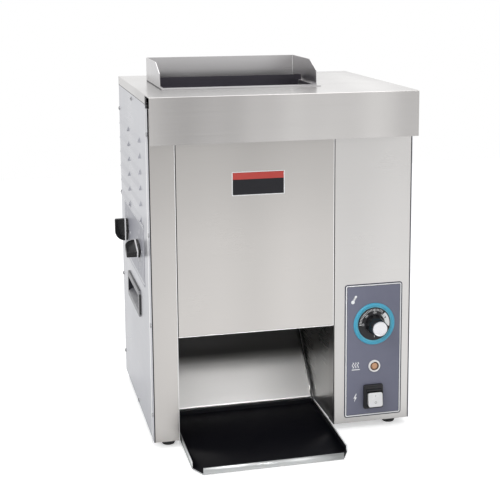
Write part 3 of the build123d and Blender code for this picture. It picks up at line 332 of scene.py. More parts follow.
unshaded_level = maths(brushed, "SUBTRACT", 1.0, maths(brushed, "MULTIPLY", shade_mask, given["Soot"]))
level = maths(brushed, "MULTIPLY", level, unshaded_level)
rough = maths(brushed, "MULTIPLY_ADD", scratch_level, 0.09, given["Roughness"])
rough = maths(brushed, "MULTIPLY_ADD", haze_level, 0.12, rough)
put_out(brushed, made, tinted(brushed, given["Tint"], level), rough, scratch)

# %% [markdown]
# ### Moulded skin
#
# Plastic and rubber copy the mould: a fine pebble, slightly uneven gloss and a little pale
# dust. Voronoi cells about half a millimetre wide make the pebble, and a slow noise moves
# the gloss.

# %% moulded skin
DUST_COLOUR = (0.6, 0.6, 0.62, 1.0)
moulded, given, made = new_group(
    "moulded_skin",
    {"Tint": (0.02, 0.02, 0.02, 1.0), "Cells": 1800.0, "Dust": 0.03, "Roughness": 0.4},
)
pebble = add_node(moulded, "TexVoronoi", {"Vector": object_place(moulded), "Scale": given["Cells"]})
cloud = noise(moulded, (60.0, 60.0, 60.0), 4.0)
dust = maths(moulded, "MULTIPLY", cloud, given["Dust"])
gloss = maths(moulded, "SUBTRACT", cloud, 0.5)
gloss = maths(moulded, "MULTIPLY_ADD", gloss, 0.25, given["Roughness"])
powdered = mixed(moulded, dust, given["Tint"], DUST_COLOUR)
put_out(moulded, made, powdered, gloss, pebble.outputs["Distance"])

# %% [markdown]
# ### Turned rings
#
# A lathe leaves rings round the axis of a part. The distance from the axis, cut into fine
# waves, makes them. Taking away the axis's place first brings the axis to the origin.

# %% turned rings
lathed, given, made = new_group(
    "turned_rings",
    {
        "Tint": (0.6, 0.6, 0.6, 1.0),
        "Axis Place": (0.0, 0.0, 0.0),
        "Flatten": (1.0, 0.0, 1.0),
        "Rings": 2500.0,
        "Roughness": 0.25,
    },
)


def vector_maths(tree, operation, *sockets):
    """One Vector Math node of sockets."""
    return add_node(tree, "VectorMath", dict(enumerate(sockets)), operation=operation)


centred = vector_maths(lathed, "SUBTRACT", object_place(lathed), given["Axis Place"]).outputs[0]
flat = vector_maths(lathed, "MULTIPLY", centred, given["Flatten"]).outputs[0]
reach = vector_maths(lathed, "LENGTH", flat).outputs["Value"]
wave = maths(lathed, "SINE", maths(lathed, "MULTIPLY", reach, given["Rings"]))
shade = maths(lathed, "MULTIPLY_ADD", wave, 0.06, 1.0)
sheen = maths(lathed, "MULTIPLY_ADD", wave, 0.05, given["Roughness"])
put_out(lathed, made, tinted(lathed, given["Tint"], shade), sheen, wave)

# %% [markdown]
# ### Woven cloth
#
# The belts and the release sheet are glass cloth with a coating. Two crossed waves give the
# over and under of the threads, and a slow noise gives the toast stains.

# %% woven cloth
woven, given, made = new_group(
    "woven_cloth",
    {
        "Tint": (0.1, 0.07, 0.04, 1.0),
        "Stain": (0.03, 0.02, 0.012, 1.0),
        "Threads": 5200.0,
        "Roughness": 0.5,
    },
)
split = add_node(woven, "SeparateXYZ", {0: object_place(woven)}).outputs
across = maths(woven, "MULTIPLY", split["X"], given["Threads"])
along = maths(woven, "ADD", split["Y"], split["Z"])
along = maths(woven, "MULTIPLY", along, given["Threads"])
over = maths(woven, "MULTIPLY", maths(woven, "SINE", across), maths(woven, "SINE", along))
stains = noise(woven, (14.0, 14.0, 30.0), 4.0)
stained = mixed(woven, stains, given["Tint"], given["Stain"])
thread_level = maths(woven, "MULTIPLY_ADD", over, 0.18, 1.0)
gloss = maths(woven, "MULTIPLY_ADD", stains, 0.15, given["Roughness"])
put_out(woven, made, tinted(woven, stained, thread_level), gloss, over)

# %% [markdown]
# ## Finishes
#
# One helper places a group in a material, wires its three outputs and sets the numbers that
# are the same all over straight on the shader. The cells after it are a list of what the
# real pieces are made of.

# %% finish helpers
RELIEF_DEPTH = 0.0002


def finish(name, effect, values, bump, **shader_values):
    """A material with one shared effect and its own values for it."""
    material = bpy.data.materials.new(name)
    material.use_nodes = True
    tree = material.node_tree
    shader = tree.nodes["Principled BSDF"]
    made = add_node(tree, "Group", values, node_tree=effect).outputs
    relief = {"Strength": bump, "Distance": RELIEF_DEPTH, "Height": made["Height"]}
    normal = add_node(tree, "Bump", relief).outputs["Normal"]
    tree.links.new(made["Color"], shader.inputs["Base Color"])
    tree.links.new(made["Roughness"], shader.inputs["Roughness"])
    tree.links.new(normal, shader.inputs["Normal"])
    for label, value in shader_values.items():
        shader.inputs[label.replace("_", " ")].default_value = value
    material.diffuse_color = values["Tint"]
    finishes[name] = material


def steel(name, tint, grain=(5.0, 1300.0, 1300.0), bands=(7.0, 7.0, 0.5), depth=0.1,
          band_depth=0.2, rough=0.3, **painted_shade):
    """A brushed sheet; grain is one noise scale per metre, or three along x, y and z."""
    values = {
        "Tint": (*tint, 1.0),
        "Grain Scale": grain if isinstance(grain, tuple) else (grain, grain, grain),
        "Band Scale": bands,
        "Grain Depth": depth,
        "Band Depth": band_depth,
        "Roughness": rough,
    }
    # Any further values set the painted shade above a height.
    for label, value in painted_shade.items():
        values[label.replace("_", " ")] = value
    finish(name, brushed, values, 0.03, Metallic=1.0)


def plastic(name, tint, rough=0.4, cells=1800.0, dust=0.02, bump=0.15, shine=0.5):
    """A moulded plastic or rubber; cells is the number of pebbles per metre."""
    values = {"Tint": (*tint, 1.0), "Cells": cells, "Dust": dust, "Roughness": rough}
    finish(name, moulded, values, bump, Specular_IOR_Level=shine)


def ink(name, tint, rough=0.5, dust=0.1, shine=0.5):
    """A printed colour: flat and very finely grained."""
    plastic(name, tint, rough, 4000.0, dust, 0.03, shine)


def cloth(name, tint, threads, rough, bump):
    """A coated glass cloth."""
    values = {"Tint": (*tint, 1.0), "Threads": threads, "Roughness": rough}
    finish(name, woven, values, bump)


print("finish helpers ready")

# %% steel finishes
FRONT_TO_BACK = (900.0, 6.0, 900.0)
# The front sheet is darker towards its top: painted shade under the overhang of the lid.
steel("front_sheet", (0.462, 0.446, 0.432), depth=0.05, band_depth=0.35,
      Soot_From=0.33, Soot_Slope=6.0, Soot=0.14)
# The same steel as the front sheet, set lighter and with no shade: painted light, as the right of
# the front catches more light.
steel("fascia_lit_sheet", (0.49, 0.48, 0.472), depth=0.05, band_depth=0.35)
steel("side_sheet", (0.49, 0.495, 0.525), FRONT_TO_BACK, (3.0, 5.0, 3.0), depth=0.04)
steel("lid_sheet", (0.46, 0.448, 0.44), bands=(9.0, 3.0, 0.4), depth=0.04, band_depth=0.9,
      rough=0.24)
steel("rear_sheet", (0.5, 0.49, 0.48))
steel("bay_sheet", (0.5, 0.5, 0.49), FRONT_TO_BACK, (4.0, 7.0, 2.0), depth=0.04, rough=0.28)
# The slide is darker on its upper part: painted shade where the front cover keeps the light off it.
steel("slide_sheet", (0.8, 0.79, 0.78), bands=(5.0, 2.0, 2.0), depth=0.03, band_depth=0.12,
      rough=0.52, Soot_From=0.072, Soot_Slope=80.0, Soot=0.74)
steel("feeder_sheet", (0.54, 0.53, 0.535), depth=0.04, band_depth=0.25)
steel("zinc_sheet", (0.45, 0.46, 0.48), 140.0, (18.0, 18.0, 18.0), rough=0.42)
steel("shaft_steel", (0.5, 0.5, 0.52), (1200.0, 60.0, 60.0), rough=0.25)
steel("gear_steel", (0.3, 0.3, 0.31), 200.0, rough=0.38)
steel("screw_steel", (0.3, 0.3, 0.31), 400.0, rough=0.22)
steel("cast_alloy", (0.4, 0.4, 0.4), 320.0, depth=0.3, rough=0.5)
steel("heater_sheath", (0.12, 0.11, 0.11), (90.0, 500.0, 500.0), depth=0.3, rough=0.5)
steel("bearing_bronze", (0.42, 0.25, 0.1), 500.0, depth=0.3, rough=0.45)
steel("tray_steel", (0.42, 0.43, 0.43), 300.0, rough=0.34)
steel("tray_edge", (0.5, 0.51, 0.515), 60.0, rough=0.48)
steel("divider_steel", (0.065, 0.06, 0.072), depth=0.2, rough=0.34)
# Steel far lighter than the sheets: painted highlight on the bends of folded edges.
steel("fold_highlight_steel", (0.86, 0.86, 0.86), (300.0, 300.0, 12.0), depth=0.05, band_depth=0.1)
print("steel finishes:", len(finishes))

# %% plastic, print and cloth finishes
plastic("tray_black", (0.003, 0.003, 0.0045), 0.42, 1300.0, 0.001, 0.06, 0.1)
plastic("foot_rubber", (0.018, 0.018, 0.019), 0.65, 900.0, 0.08)
plastic("gland_black", (0.02, 0.02, 0.021), 0.45)
plastic("motor_black", (0.03, 0.03, 0.034), 0.4, 700.0)
plastic("wing_black", (0.005, 0.005, 0.006), 0.3, dust=0.006, bump=0.06, shine=0.3)
plastic("grip_black", (0.005, 0.005, 0.006), 0.28, dust=0.008, bump=0.08, shine=0.35)
plastic("dial_black", (0.007, 0.007, 0.009), 0.45, dust=0.01, shine=0.35)
plastic("switch_black", (0.007, 0.007, 0.009), 0.35, dust=0.015, shine=0.4)
# Three tones of one black plastic for the hand-holds: the grey is painted light where light falls,
# and the two near blacks are painted shade in the pocket and on the rim's sides.
plastic("handle_lit_grey", (0.17, 0.17, 0.185), 0.36, dust=0.03)
plastic("handle_rim_shade", (0.01, 0.01, 0.012), 0.3, dust=0.01, shine=0.4)
plastic("handle_pocket_shade", (0.008, 0.008, 0.014), 0.4, shine=0.3)
plastic("rocker_white", (0.74, 0.74, 0.75), 0.24, 2600.0, 0.05, 0.04)
plastic("lamp_white", (0.8, 0.79, 0.78), 0.25, 2600.0, 0.05, 0.04)
plastic("lamp_brown", (0.075, 0.028, 0.012), 0.3, 3000.0, bump=0.04)
plastic("ring_cyan", (0.032, 0.33, 0.5), 0.35, 3000.0, 0.06, 0.04)
# A lighter copy of the ring's cyan: painted highlight on the ring's inner bevel.
plastic("ring_cyan_highlight", (0.12, 0.5, 0.66), 0.35, 3000.0, 0.06, 0.04)
plastic("knob_line", (0.85, 0.85, 0.86), 0.4, 3000.0, 0.05, 0.05)
plastic("panel_film", (0.118, 0.124, 0.18), 0.42, 5000.0, 0.05, 0.05)
plastic("label_film", (0.3, 0.305, 0.345), 0.4, 5000.0, 0.05, 0.05)
plastic("ceramic_white", (0.72, 0.7, 0.64), 0.6, 900.0, 0.2)
ink("print_white", (0.78, 0.79, 0.8))
ink("print_grey", (0.42, 0.42, 0.45))
# Dark ink: real print, and also painted shade in seams, gaps and screw recesses.
ink("dark_print_and_shade", (0.006, 0.006, 0.009), dust=0.01, shine=0.25)
ink("sign_grey", (0.2, 0.2, 0.21))
ink("sticker_red", (0.45, 0.03, 0.02), 0.42, 0.05)
cloth("belt_cloth", (0.085, 0.06, 0.035), 5200.0, 0.45, 0.5)
cloth("release_cloth", (0.2, 0.12, 0.055), 7000.0, 0.3, 0.3)
print("all finishes:", len(finishes))

# %% [markdown]
# ## Dressing the frame
#
# The sheets, shafts, gears and belts already have their true shapes, so they only need
# their finish. A CAD object is never moved or reshaped: its material slots are filled.

# %% dress the frame
dressing = {
    "front_sheet": "left_front_post front_cover",
    "fascia_lit_sheet": "control_fascia",
    "side_sheet": "left_side_panel right_side_panel",
    "lid_sheet": "top_lid",
    "rear_sheet": "rear_panel",
    "bay_sheet": "left_inner_wall right_inner_wall",
    "slide_sheet": "bun_slide",
    "feeder_sheet": "bun_feeder",
    "divider_steel": "feeder_divider",
    "zinc_sheet": "base_pan front_chute rear_chute front_pressure_plate rear_pressure_plate "
    "motor_bracket platen_brackets",
    "shaft_steel": "front_drive_roller rear_drive_roller front_top_roller rear_top_roller "
    "front_camshaft rear_camshaft gear_studs thermostat_spindle",
    "gear_steel": "front_drive_gear front_idler_gear rear_idler_gear rear_drive_gear motor_pinion",
    "cast_alloy": "platen_plates",
    "heater_sheath": "heating_element",
    "bearing_bronze": "shaft_bearings",
    "ceramic_white": "element_bushes terminal_block",
    "motor_black": "gearmotor",
    "gland_black": "cord_gland thermostat_body",
    "foot_rubber": "rubber_feet",
    "tray_black": "landing_tray",
    "belt_cloth": "front_belt rear_belt",
    "release_cloth": "release_sheet",
    "panel_film": "control_overlay",
    "label_film": "compression_label",
    "handle_lit_grey": "left_handle right_handle",
    "wing_black": "front_compression_knob rear_compression_knob",
    "grip_black": "thermostat_knob",
    "dial_black": "thermostat_dial",
    "ring_cyan": "thermostat_bezel",
    "screw_steel": "knob_cap",
    "lamp_white": "lamp_bezel lamp_lens",
    "switch_black": "switch_housing",
    "rocker_white": "switch_rocker",
}
dressed = 0
for material, names in dressing.items():
    for name in names.split():
        for slot in nodes[name].material_slots:
            slot.material = finishes[material]
        dressed += 1
print("dressed", dressed, "of", len(nodes))

# %% [markdown]
# ## How a piece is finished
#
# Every new piece is a bmesh, and from here on all sizes and places are in millimetres: the
# helpers turn them into metres. A piece is built near the origin, with its back at z = 0 and
# its face along +z, then turned to face the way it faces on the machine. Doubles are merged
# and normals recalculated before it becomes an object, and it rides on the body that carries
# it.

# %% piece helpers
MM = 0.001
WELD = 0.002 * MM
ORIGIN = (0.0, 0.0, 0.0)
FRONTWARDS = (0.0, -1.0, 0.0)
BACKWARDS = (0.0, 1.0, 0.0)
LEFTWARDS = (-1.0, 0.0, 0.0)
RIGHTWARDS = (1.0, 0.0, 0.0)


def mm(*values):
    """Millimetres as metres."""
    return tuple(value * MM for value in values)


def box(node):
    """The lowest and the highest corner of a CAD node."""
    low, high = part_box(node)
    return low / MM, high / MM


def middle_of(node):
    """The middle of the box of a CAD node."""
    low, high = box(node)
    return (low + high) / 2


def looking(out, place):
    """Turns a shape that faces +z so that it faces out, and puts its origin at place."""
    z_axis = Vector(out)
    y_axis = Vector((0.0, 0.0, 1.0))
    x_axis = y_axis.cross(z_axis)
    turn = Matrix((x_axis, y_axis, z_axis)).transposed().to_4x4()
    return Matrix.Translation(mm(*place)) @ turn


def finish_piece(name, shape, materials, body, *replaced, sharp=32.0, placed=None):
    """Closes a bmesh, makes it an object at the origin and lets it ride on a body."""
    if placed is not None:
        bmesh.ops.transform(shape, matrix=placed, verts=shape.verts)
    bmesh.ops.remove_doubles(shape, verts=shape.verts, dist=WELD)
    bmesh.ops.recalc_face_normals(shape, faces=shape.faces)
    piece = mesh_object(name, shape, materials, sharp)
    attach(piece, body)
    if replaced:
        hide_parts(*replaced)
    print(name, "faces:", len(piece.data.polygons))


def polygon(shape, points):
    """A flat face; returns its corners and the face."""
    corners = [shape.verts.new(mm(*point)) for point in points]
    return corners, bmesh.ops.contextual_create(shape, geom=corners)["faces"][0]


def turned(profile, steps=64, shape=None):
    """A turned shape: a profile of (radius, height) points spun about z."""
    shape = shape or bmesh.new()
    corners = [shape.verts.new(mm(radius, 0.0, height)) for radius, height in profile]
    edges = [shape.edges.new(pair) for pair in zip(corners, corners[1:])]
    bmesh.ops.spin(
        shape,
        geom=corners + edges,
        cent=ORIGIN,
        axis=(0.0, 0.0, 1.0),
        angle=math.tau,
        steps=steps,
        use_merge=True,
    )
    bmesh.ops.remove_doubles(shape, verts=shape.verts, dist=WELD)
    return shape


def soften(shape, geom, offset, segments=3, affect="EDGES"):
    """Rounds edges, or the corners of a flat face, with a bevel; returns its new corners."""
    made = bmesh.ops.bevel(
        shape,
        geom=geom,
        offset=offset * MM,
        offset_type="OFFSET",
        segments=segments,
        profile=0.5,
        affect=affect,
        material=-1,
    )
    return made["verts"]


def extrude(shape, geom, step=ORIGIN, keep=True):
    """Extrudes faces or edges by a step; returns the new faces. A face that isn't kept goes."""
    if isinstance(geom[0], bmesh.types.BMFace):
        grown = bmesh.ops.extrude_face_region(shape, geom=geom)["geom"]
    else:
        grown = bmesh.ops.extrude_edge_only(shape, edges=geom)["geom"]
    moved = [g for g in grown if isinstance(g, bmesh.types.BMVert)]
    bmesh.ops.translate(shape, verts=moved, vec=mm(*step))
    if not keep:
        bmesh.ops.delete(shape, geom=geom, context="FACES_ONLY")
    return [g for g in grown if isinstance(g, bmesh.types.BMFace)]


def sharp_edges(shape, angle):
    """The edges whose two faces turn by more than an angle in radians."""
    return [e for e in shape.edges if len(e.link_faces) == 2 and e.calc_face_angle(0.0) > angle]


def inset(shape, face, width, depth=0.0, boundary=False):
    """Insets a face; returns the ring of faces round it."""
    ring = bmesh.ops.inset_region(
        shape,
        faces=[face],
        thickness=width * MM,
        depth=depth * MM,
        use_even_offset=True,
        use_boundary=boundary,
    )
    return ring["faces"]


def rounded_plate(shape, width, height, corner, thickness, segments=6, at=ORIGIN, material=0):
    """A plate with round corners on z = 0, added to the shape; returns its front face."""
    corners = bmesh.ops.create_grid(shape, x_segments=1, y_segments=1, size=0.5)["verts"]
    bmesh.ops.scale(shape, vec=(width * MM, height * MM, 1.0), verts=corners)
    bmesh.ops.translate(shape, vec=mm(*at), verts=corners)
    rounded = soften(shape, corners, corner, segments, "VERTICES")
    touching = [f for f in shape.faces if f.is_valid and rounded[0] in f.verts]
    face = max(touching, key=lambda f: f.calc_area())
    face.material_index = material
    if not thickness:
        return face
    front = extrude(shape, [face], (0.0, 0.0, thickness))[0]
    for side in {f for edge in front.edges for f in edge.link_faces}:
        side.material_index = material
    return front


print("piece helpers ready")

# %% [markdown]
# ## Landing tray
#
# The tray is one folded sheet: black coated inside, bare on its outside and on its cut
# edges. A single surface shows the folds best, so only the outside is modelled, its three
# folds are rounded, and a Solidify modifier gives the sheet its thickness. Solidify can use
# one material for the outside, the next for the inside and a third for the cut edge. The
# last millimetre at the back counts on from a fourth material, so that its edge is black too.
# A narrow black hook at the back rests on the floor of the machine and hides its edge.

# %% landing tray
TRAY_SLOPE = math.radians(1.8)
TRAY_SHEET = 2.0
TRAY_LIP = 11.0
TRAY_SIDE = 10.5
TRAY_FOLD = 1.8
CORNER_WIDTH, CORNER_DEPTH = 13.7, 26.0
REAR_STRIP, REAR_SLOT = 1.0, 3
tray_low, tray_high = box("landing_tray")
tray_half = (tray_high.x - tray_low.x) / 2
lip_half = tray_half - CORNER_WIDTH
lip_lean = TRAY_LIP * math.sin(TRAY_SLOPE)
tray_length = (tray_high.y - tray_low.y - lip_lean) / math.cos(TRAY_SLOPE)

tray = bmesh.new()
outline = [
    (-lip_half, 0.0, 0.0),
    (lip_half, 0.0, 0.0),
    (tray_half, CORNER_DEPTH, 0.0),
    (tray_half, tray_length - REAR_STRIP, 0.0),
    (-tray_half, tray_length - REAR_STRIP, 0.0),
    (-tray_half, CORNER_DEPTH, 0.0),
]
corners, _ = polygon(tray, outline)
for first, second, tall in ((0, 1, TRAY_LIP), (2, 3, TRAY_SIDE), (4, 5, TRAY_SIDE)):
    extrude(tray, [tray.edges.get((corners[first], corners[second]))], (0.0, 0.0, tall))
tray_folds = [e for e in tray.edges if len(e.link_faces) == 2]
rear_edge = tray.edges.get((corners[3], corners[4]))
for strip in extrude(tray, [rear_edge], (0.0, REAR_STRIP, 0.0)):
    strip.material_index = REAR_SLOT
soften(tray, tray_folds, TRAY_FOLD)
bmesh.ops.recalc_face_normals(tray, faces=tray.faces)
floor_face = max(tray.faces, key=lambda f: f.calc_area())
if floor_face.normal.z > 0:
    bmesh.ops.reverse_faces(tray, faces=tray.faces)
slope = Matrix.Rotation(TRAY_SLOPE, 3, "X")
bmesh.ops.rotate(tray, verts=tray.verts, cent=ORIGIN, matrix=slope)
tray_front = (middle_of("landing_tray").x, tray_low.y + lip_lean, tray_low.z)
bmesh.ops.translate(tray, verts=tray.verts, vec=mm(*tray_front))
tray_slots = ["tray_steel", "tray_black", "tray_edge", "tray_black", "tray_black", "tray_black"]
tray_sheet = mesh_object("tray_sheet", tray, tray_slots, sharp=40.0)
wall = tray_sheet.modifiers.new("sheet", "SOLIDIFY")
wall.thickness = TRAY_SHEET * MM
wall.offset = -1.0
wall.use_even_offset = True
wall.material_offset = 1
wall.material_offset_rim = 2
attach(tray_sheet, "tray")
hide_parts("landing_tray")
print("tray", round(tray_half * 2, 1), "by", round(tray_length, 1))

# %% tray hook
HOOK_INSET = 2.0
hook_profile = [
    (-18.0, 8.5), (-18.0, 15.3), (-9.8, 15.3), (-9.8, 14.6), (-17.3, 14.6), (-17.3, 8.5),
]
hook = bmesh.new()
_, side = polygon(hook, [(tray_low.x + HOOK_INSET, y, z) for y, z in hook_profile])
extrude(hook, [side], (2.0 * (tray_half - HOOK_INSET), 0.0, 0.0))
bend = Vector(mm(*hook_profile[1]))
top_bend = [e for e in hook.edges if all((v.co.yz - bend).length < WELD for v in e.verts)]
soften(hook, top_bend, 0.6)
finish_piece("tray_hook", hook, ["tray_black"], "tray")

# %% [markdown]
# ## Thermostat
#
# The control is a knob on a skirt that carries the scale, inside a coloured ring. Round
# parts are turned: a profile of radius and height is spun about its axis. The grip is an
# eight sided stub, so it starts as a circle of eight corners that is extruded and scaled.

# %% thermostat: place and ring
RING_HIGHLIGHT_RADIUS, RING_HIGHLIGHT_HEIGHT = 29.5, 0.4
dial = middle_of("thermostat_dial")


def on_dial_axis(node):
    """Faces frontwards on the axis of the dial, from the back of a CAD node."""
    return looking(FRONTWARDS, (dial.x, box(node)[1].y, dial.z))


ring_profile = [
    (27.4, 0.0), (34.5, 0.0), (34.5, 1.0), (33.9, 1.9), (32.8, 2.4),
    (30.4, 2.5), (29.4, 2.3), (28.3, 1.2), (27.4, 1.0), (27.4, 0.0),
]
ring = turned(ring_profile, 96)
# The inner bevel takes a lighter cyan: a painted highlight on the same plastic.
for face in ring.faces:
    middle = face.calc_center_median() / MM
    if middle.xy.length < RING_HIGHLIGHT_RADIUS and middle.z > RING_HIGHLIGHT_HEIGHT:
        face.material_index = 1
ring_place = on_dial_axis("thermostat_bezel")
cyans = ["ring_cyan", "ring_cyan_highlight"]
finish_piece("thermostat_ring", ring, cyans, "housing", "thermostat_bezel", placed=ring_place)

# %% thermostat: scale skirt
DIAL_FACE = 2.1
skirt_profile = [
    (3.1, 0.0), (26.3, 0.0), (26.75, 0.5), (26.75, 1.4), (26.2, 2.0),
    (25.9, DIAL_FACE), (17.6, DIAL_FACE), (17.0, 2.5), (3.1, 2.5), (3.1, 0.0),
]
dial_matrix = on_dial_axis("thermostat_dial")
black = ["dial_black"]
skirt = turned(skirt_profile, 96)
finish_piece("scale_skirt", skirt, black, "thermostat", "thermostat_dial", placed=dial_matrix)

# %% [markdown]
# ### Printed marks
#
# Print has almost no thickness. Each mark is a thin flat face laid a few hundredths of a
# millimetre over its ground, which is enough for the renderer to tell them apart. Numbers
# start as text, are made a mesh, and only then are put in their places.

# %% print helpers
PRINT_LIFT = 0.03
FILM_LIFT = 0.04
TEXT_PER_DIGIT = 1.4


def lay(shape, flat, centre, turned_by, lift, material):
    """Turns flat corners by an angle in degrees and lays them on a centre."""
    spin = Matrix.Rotation(math.radians(turned_by), 3, "Z")
    bmesh.ops.rotate(shape, verts=flat, cent=ORIGIN, matrix=spin)
    bmesh.ops.translate(shape, verts=flat, vec=mm(*centre, lift))
    for face in {f for v in flat for f in v.link_faces}:
        face.material_index = material


def bar(shape, width, height, centre, turned_by=0.0, lift=0.0, material=0):
    """A flat printed bar."""
    flat = bmesh.ops.create_grid(shape, x_segments=1, y_segments=1, size=0.5)["verts"]
    bmesh.ops.scale(shape, vec=(width * MM, height * MM, 1.0), verts=flat)
    lay(shape, flat, centre, turned_by, lift, material)


def disc(shape, radius, centre, lift, segments):
    """A flat printed disc."""
    flat = bmesh.ops.create_circle(shape, cap_ends=True, segments=segments, radius=radius * MM)
    lay(shape, flat["verts"], centre, 0.0, lift, 0)


def blob(shape, points, lift=0.0, material=0):
    """A flat printed shape with the given corners."""
    _, face = polygon(shape, [(x, y, lift) for x, y in points])
    face.material_index = material


def number(shape, text, height, centre, turned_by=0.0):
    """A printed number."""
    curve = bpy.data.curves.new("number", "FONT")
    curve.body = text
    curve.size = height * TEXT_PER_DIGIT * MM
    curve.align_x = "CENTER"
    curve.align_y = "CENTER"
    curve.resolution_u = 3
    holder = bpy.data.objects.new("number", curve)
    scene.collection.objects.link(holder)
    mesh = bpy.data.meshes.new_from_object(holder)
    bpy.data.objects.remove(holder)
    bpy.data.curves.remove(curve)
    before = set(shape.verts)
    shape.from_mesh(mesh)
    bpy.data.meshes.remove(mesh)
    lay(shape, [v for v in shape.verts if v not in before], centre, turned_by, 0.0, 0)


def polar(radius, degrees):
    """A point of a flat print at a radius and an angle from +x."""
    angle = math.radians(degrees)
    return (radius * math.cos(angle), radius * math.sin(angle))


def finish_print(name, shape, materials, body, placed):
    """Faces every print outwards and makes it an object."""
    for face in shape.faces:
        face.normal_update()
    back = [f for f in shape.faces if f.normal.z < 0]
    bmesh.ops.reverse_faces(shape, faces=back)
    bmesh.ops.transform(shape, matrix=placed, verts=shape.verts)
    print_piece = mesh_object(name, shape, materials)
    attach(print_piece, body)
    print(name, "faces:", len(print_piece.data.polygons))


print("print helpers ready")

# %% thermostat: scale
FIRST_TICK = 180.0
TICK_STEP = 5.6
TICKS_PER_NUMBER = 8
TICK_EDGE = 25.6
marks = bmesh.new()
for i in range(23):
    angle = FIRST_TICK - i * TICK_STEP
    reach, thick = (4.4, 0.95) if i % TICKS_PER_NUMBER == 0 else (3.6, 0.72)
    bar(marks, reach, thick, polar(TICK_EDGE - reach / 2, angle), angle)
for i, text in enumerate(("50", "100", "150", "200")):
    angle = FIRST_TICK - i * TICKS_PER_NUMBER * TICK_STEP
    number(marks, text, 3.0, polar(18.9, angle), angle - 90.0)
window = [polar(14.9, 50.0), polar(23.6, -11.0)]
window += [polar(25.4, angle) for angle in range(-10, 47, 7)]
blob(marks, window)
bar(marks, 0.7, 3.2, polar(20.2, -90.0), 8.0)
pointer = [polar(22.2, 33.0), polar(21.4, 25.5), polar(17.3, 27.5)]
blob(marks, pointer, lift=0.02, material=1)
lifted = dial_matrix @ Matrix.Translation(mm(0.0, 0.0, DIAL_FACE + PRINT_LIFT))
finish_print("scale_marks", marks, ["print_white", "dark_print_and_shade"], "thermostat", lifted)

# %% thermostat: grip and cap
GRIP_RADIUS = 16.5
GRIP_RINGS = ((1.5, 16.3), (9.0, 14.2), (24.6, 13.4), (26.0, 12.6))
grip = bmesh.new()
bmesh.ops.create_circle(grip, cap_ends=True, segments=8, radius=GRIP_RADIUS * MM)
eighth = Matrix.Rotation(math.radians(22.5), 3, "Z")
bmesh.ops.rotate(grip, verts=grip.verts, cent=ORIGIN, matrix=eighth)
top = list(grip.faces)[0]
before = GRIP_RADIUS
for height, after in GRIP_RINGS:
    top = extrude(grip, [top], keep=before == GRIP_RADIUS)[0]
    for vert in top.verts:
        vert.co.x *= after / before
        vert.co.y *= after / before
        vert.co.z = height * MM
    before = after
uprights = [e for e in grip.edges if abs(e.verts[0].co.z - e.verts[1].co.z) > 1.0 * MM]
soften(grip, uprights, 1.1)
grip_place = on_dial_axis("thermostat_knob")
finish_piece("grip", grip, ["grip_black"], "thermostat", "thermostat_knob", placed=grip_place)
cap_rings = {
    "Tint": (0.6, 0.6, 0.62, 1.0),
    "Axis Place": mm(dial.x, 0.0, dial.z),
    "Rings": 5000.0,
    "Roughness": 0.22,
}
finish("cap_metal", lathed, cap_rings, 0.15, Metallic=1.0)
cap_profile = [
    (0.0, 0.0), (12.0, 0.0), (12.0, 1.1), (11.7, 1.7), (11.1, 2.0),
    (10.5, 2.0), (10.1, 1.75), (9.6, 1.7), (0.0, 1.7),
]
cap_place = on_dial_axis("knob_cap")
cap = turned(cap_profile)
finish_piece("turned_cap", cap, ["cap_metal"], "thermostat", "knob_cap", placed=cap_place)

# %% [markdown]
# ## Signal lamp
#
# A white ring is clipped in the panel, and a ribbed amber lens sits in a dark seat. The
# barrel behind the ring carries the bulb. Ribs on the real lens spread the light: here they
# are rings in the lens finish.

# %% signal lamp
panel_low, panel_high = box("control_overlay")
panel_face = panel_low.y
lamp = middle_of("lamp_lens")
lamp_matrix = looking(FRONTWARDS, (lamp.x, panel_face, lamp.z))
bezel_profile = [
    (7.1, -1.0), (10.0, -0.05), (10.0, 1.0), (9.7, 2.1), (9.1, 2.8),
    (8.4, 3.0), (7.9, 2.9), (7.3, 2.4), (7.1, 1.6), (7.1, -1.0),
]
finish_piece("lamp_ring", turned(bezel_profile), ["lamp_white"], "housing", placed=lamp_matrix)
barrel = bmesh.new()
rounded_plate(barrel, 14.0, 14.0, 1.5, 22.0, at=(0.0, 0.0, -24.0))
finish_piece("lamp_barrel", barrel, ["gland_black"], "housing", "lamp_bezel", placed=lamp_matrix)
seat_profile = [
    (0.0, -1.6), (7.12, -1.6), (7.12, 1.7), (6.6, 2.0), (6.3, 1.8), (6.3, 0.2), (0.0, 0.2),
]
finish_piece("lamp_seat", turned(seat_profile, 48), ["lamp_brown"], "housing", placed=lamp_matrix)
lens_rings = {
    "Tint": (0.5, 0.26, 0.13, 1.0),
    "Axis Place": mm(lamp.x, 0.0, lamp.z),
    "Rings": 6500.0,
    "Roughness": 0.18,
}
finish("lens_amber", lathed, lens_rings, 0.6, Coat_Weight=0.6, Coat_Roughness=0.06)
lens_profile = [
    (0.0, 0.1), (5.2, 0.1), (5.2, 1.7), (4.9, 2.3),
    (4.2, 2.8), (3.0, 3.15), (1.6, 3.35), (0.0, 3.4),
]
lens = turned(lens_profile, 48)
finish_piece("lamp_dome", lens, ["lens_amber"], "housing", "lamp_lens", placed=lamp_matrix)

# %% [markdown]
# ## Power switch
#
# A stepped black frame holds a white rocker. The frame grows out of one rounded plate: its
# face is inset, scaled to the next step and extruded, and the last face is pushed back to
# make the well.

# %% switch frame
STEP_START = 0.4
FRAME_STEPS = (  # width, height, rise and how far the step lies below the last one
    (30.6, 35.8, 1.8, 0.6),
    (28.2, 30.4, 5.0, 0.7),
    (25.2, 26.8, -12.0, 0.5),
)
FRAME_FRONT, RIM_ANGLE = 4.0, 1.2
switch = middle_of("switch_housing")
switch_matrix = looking(FRONTWARDS, (switch.x, panel_face, switch.z))


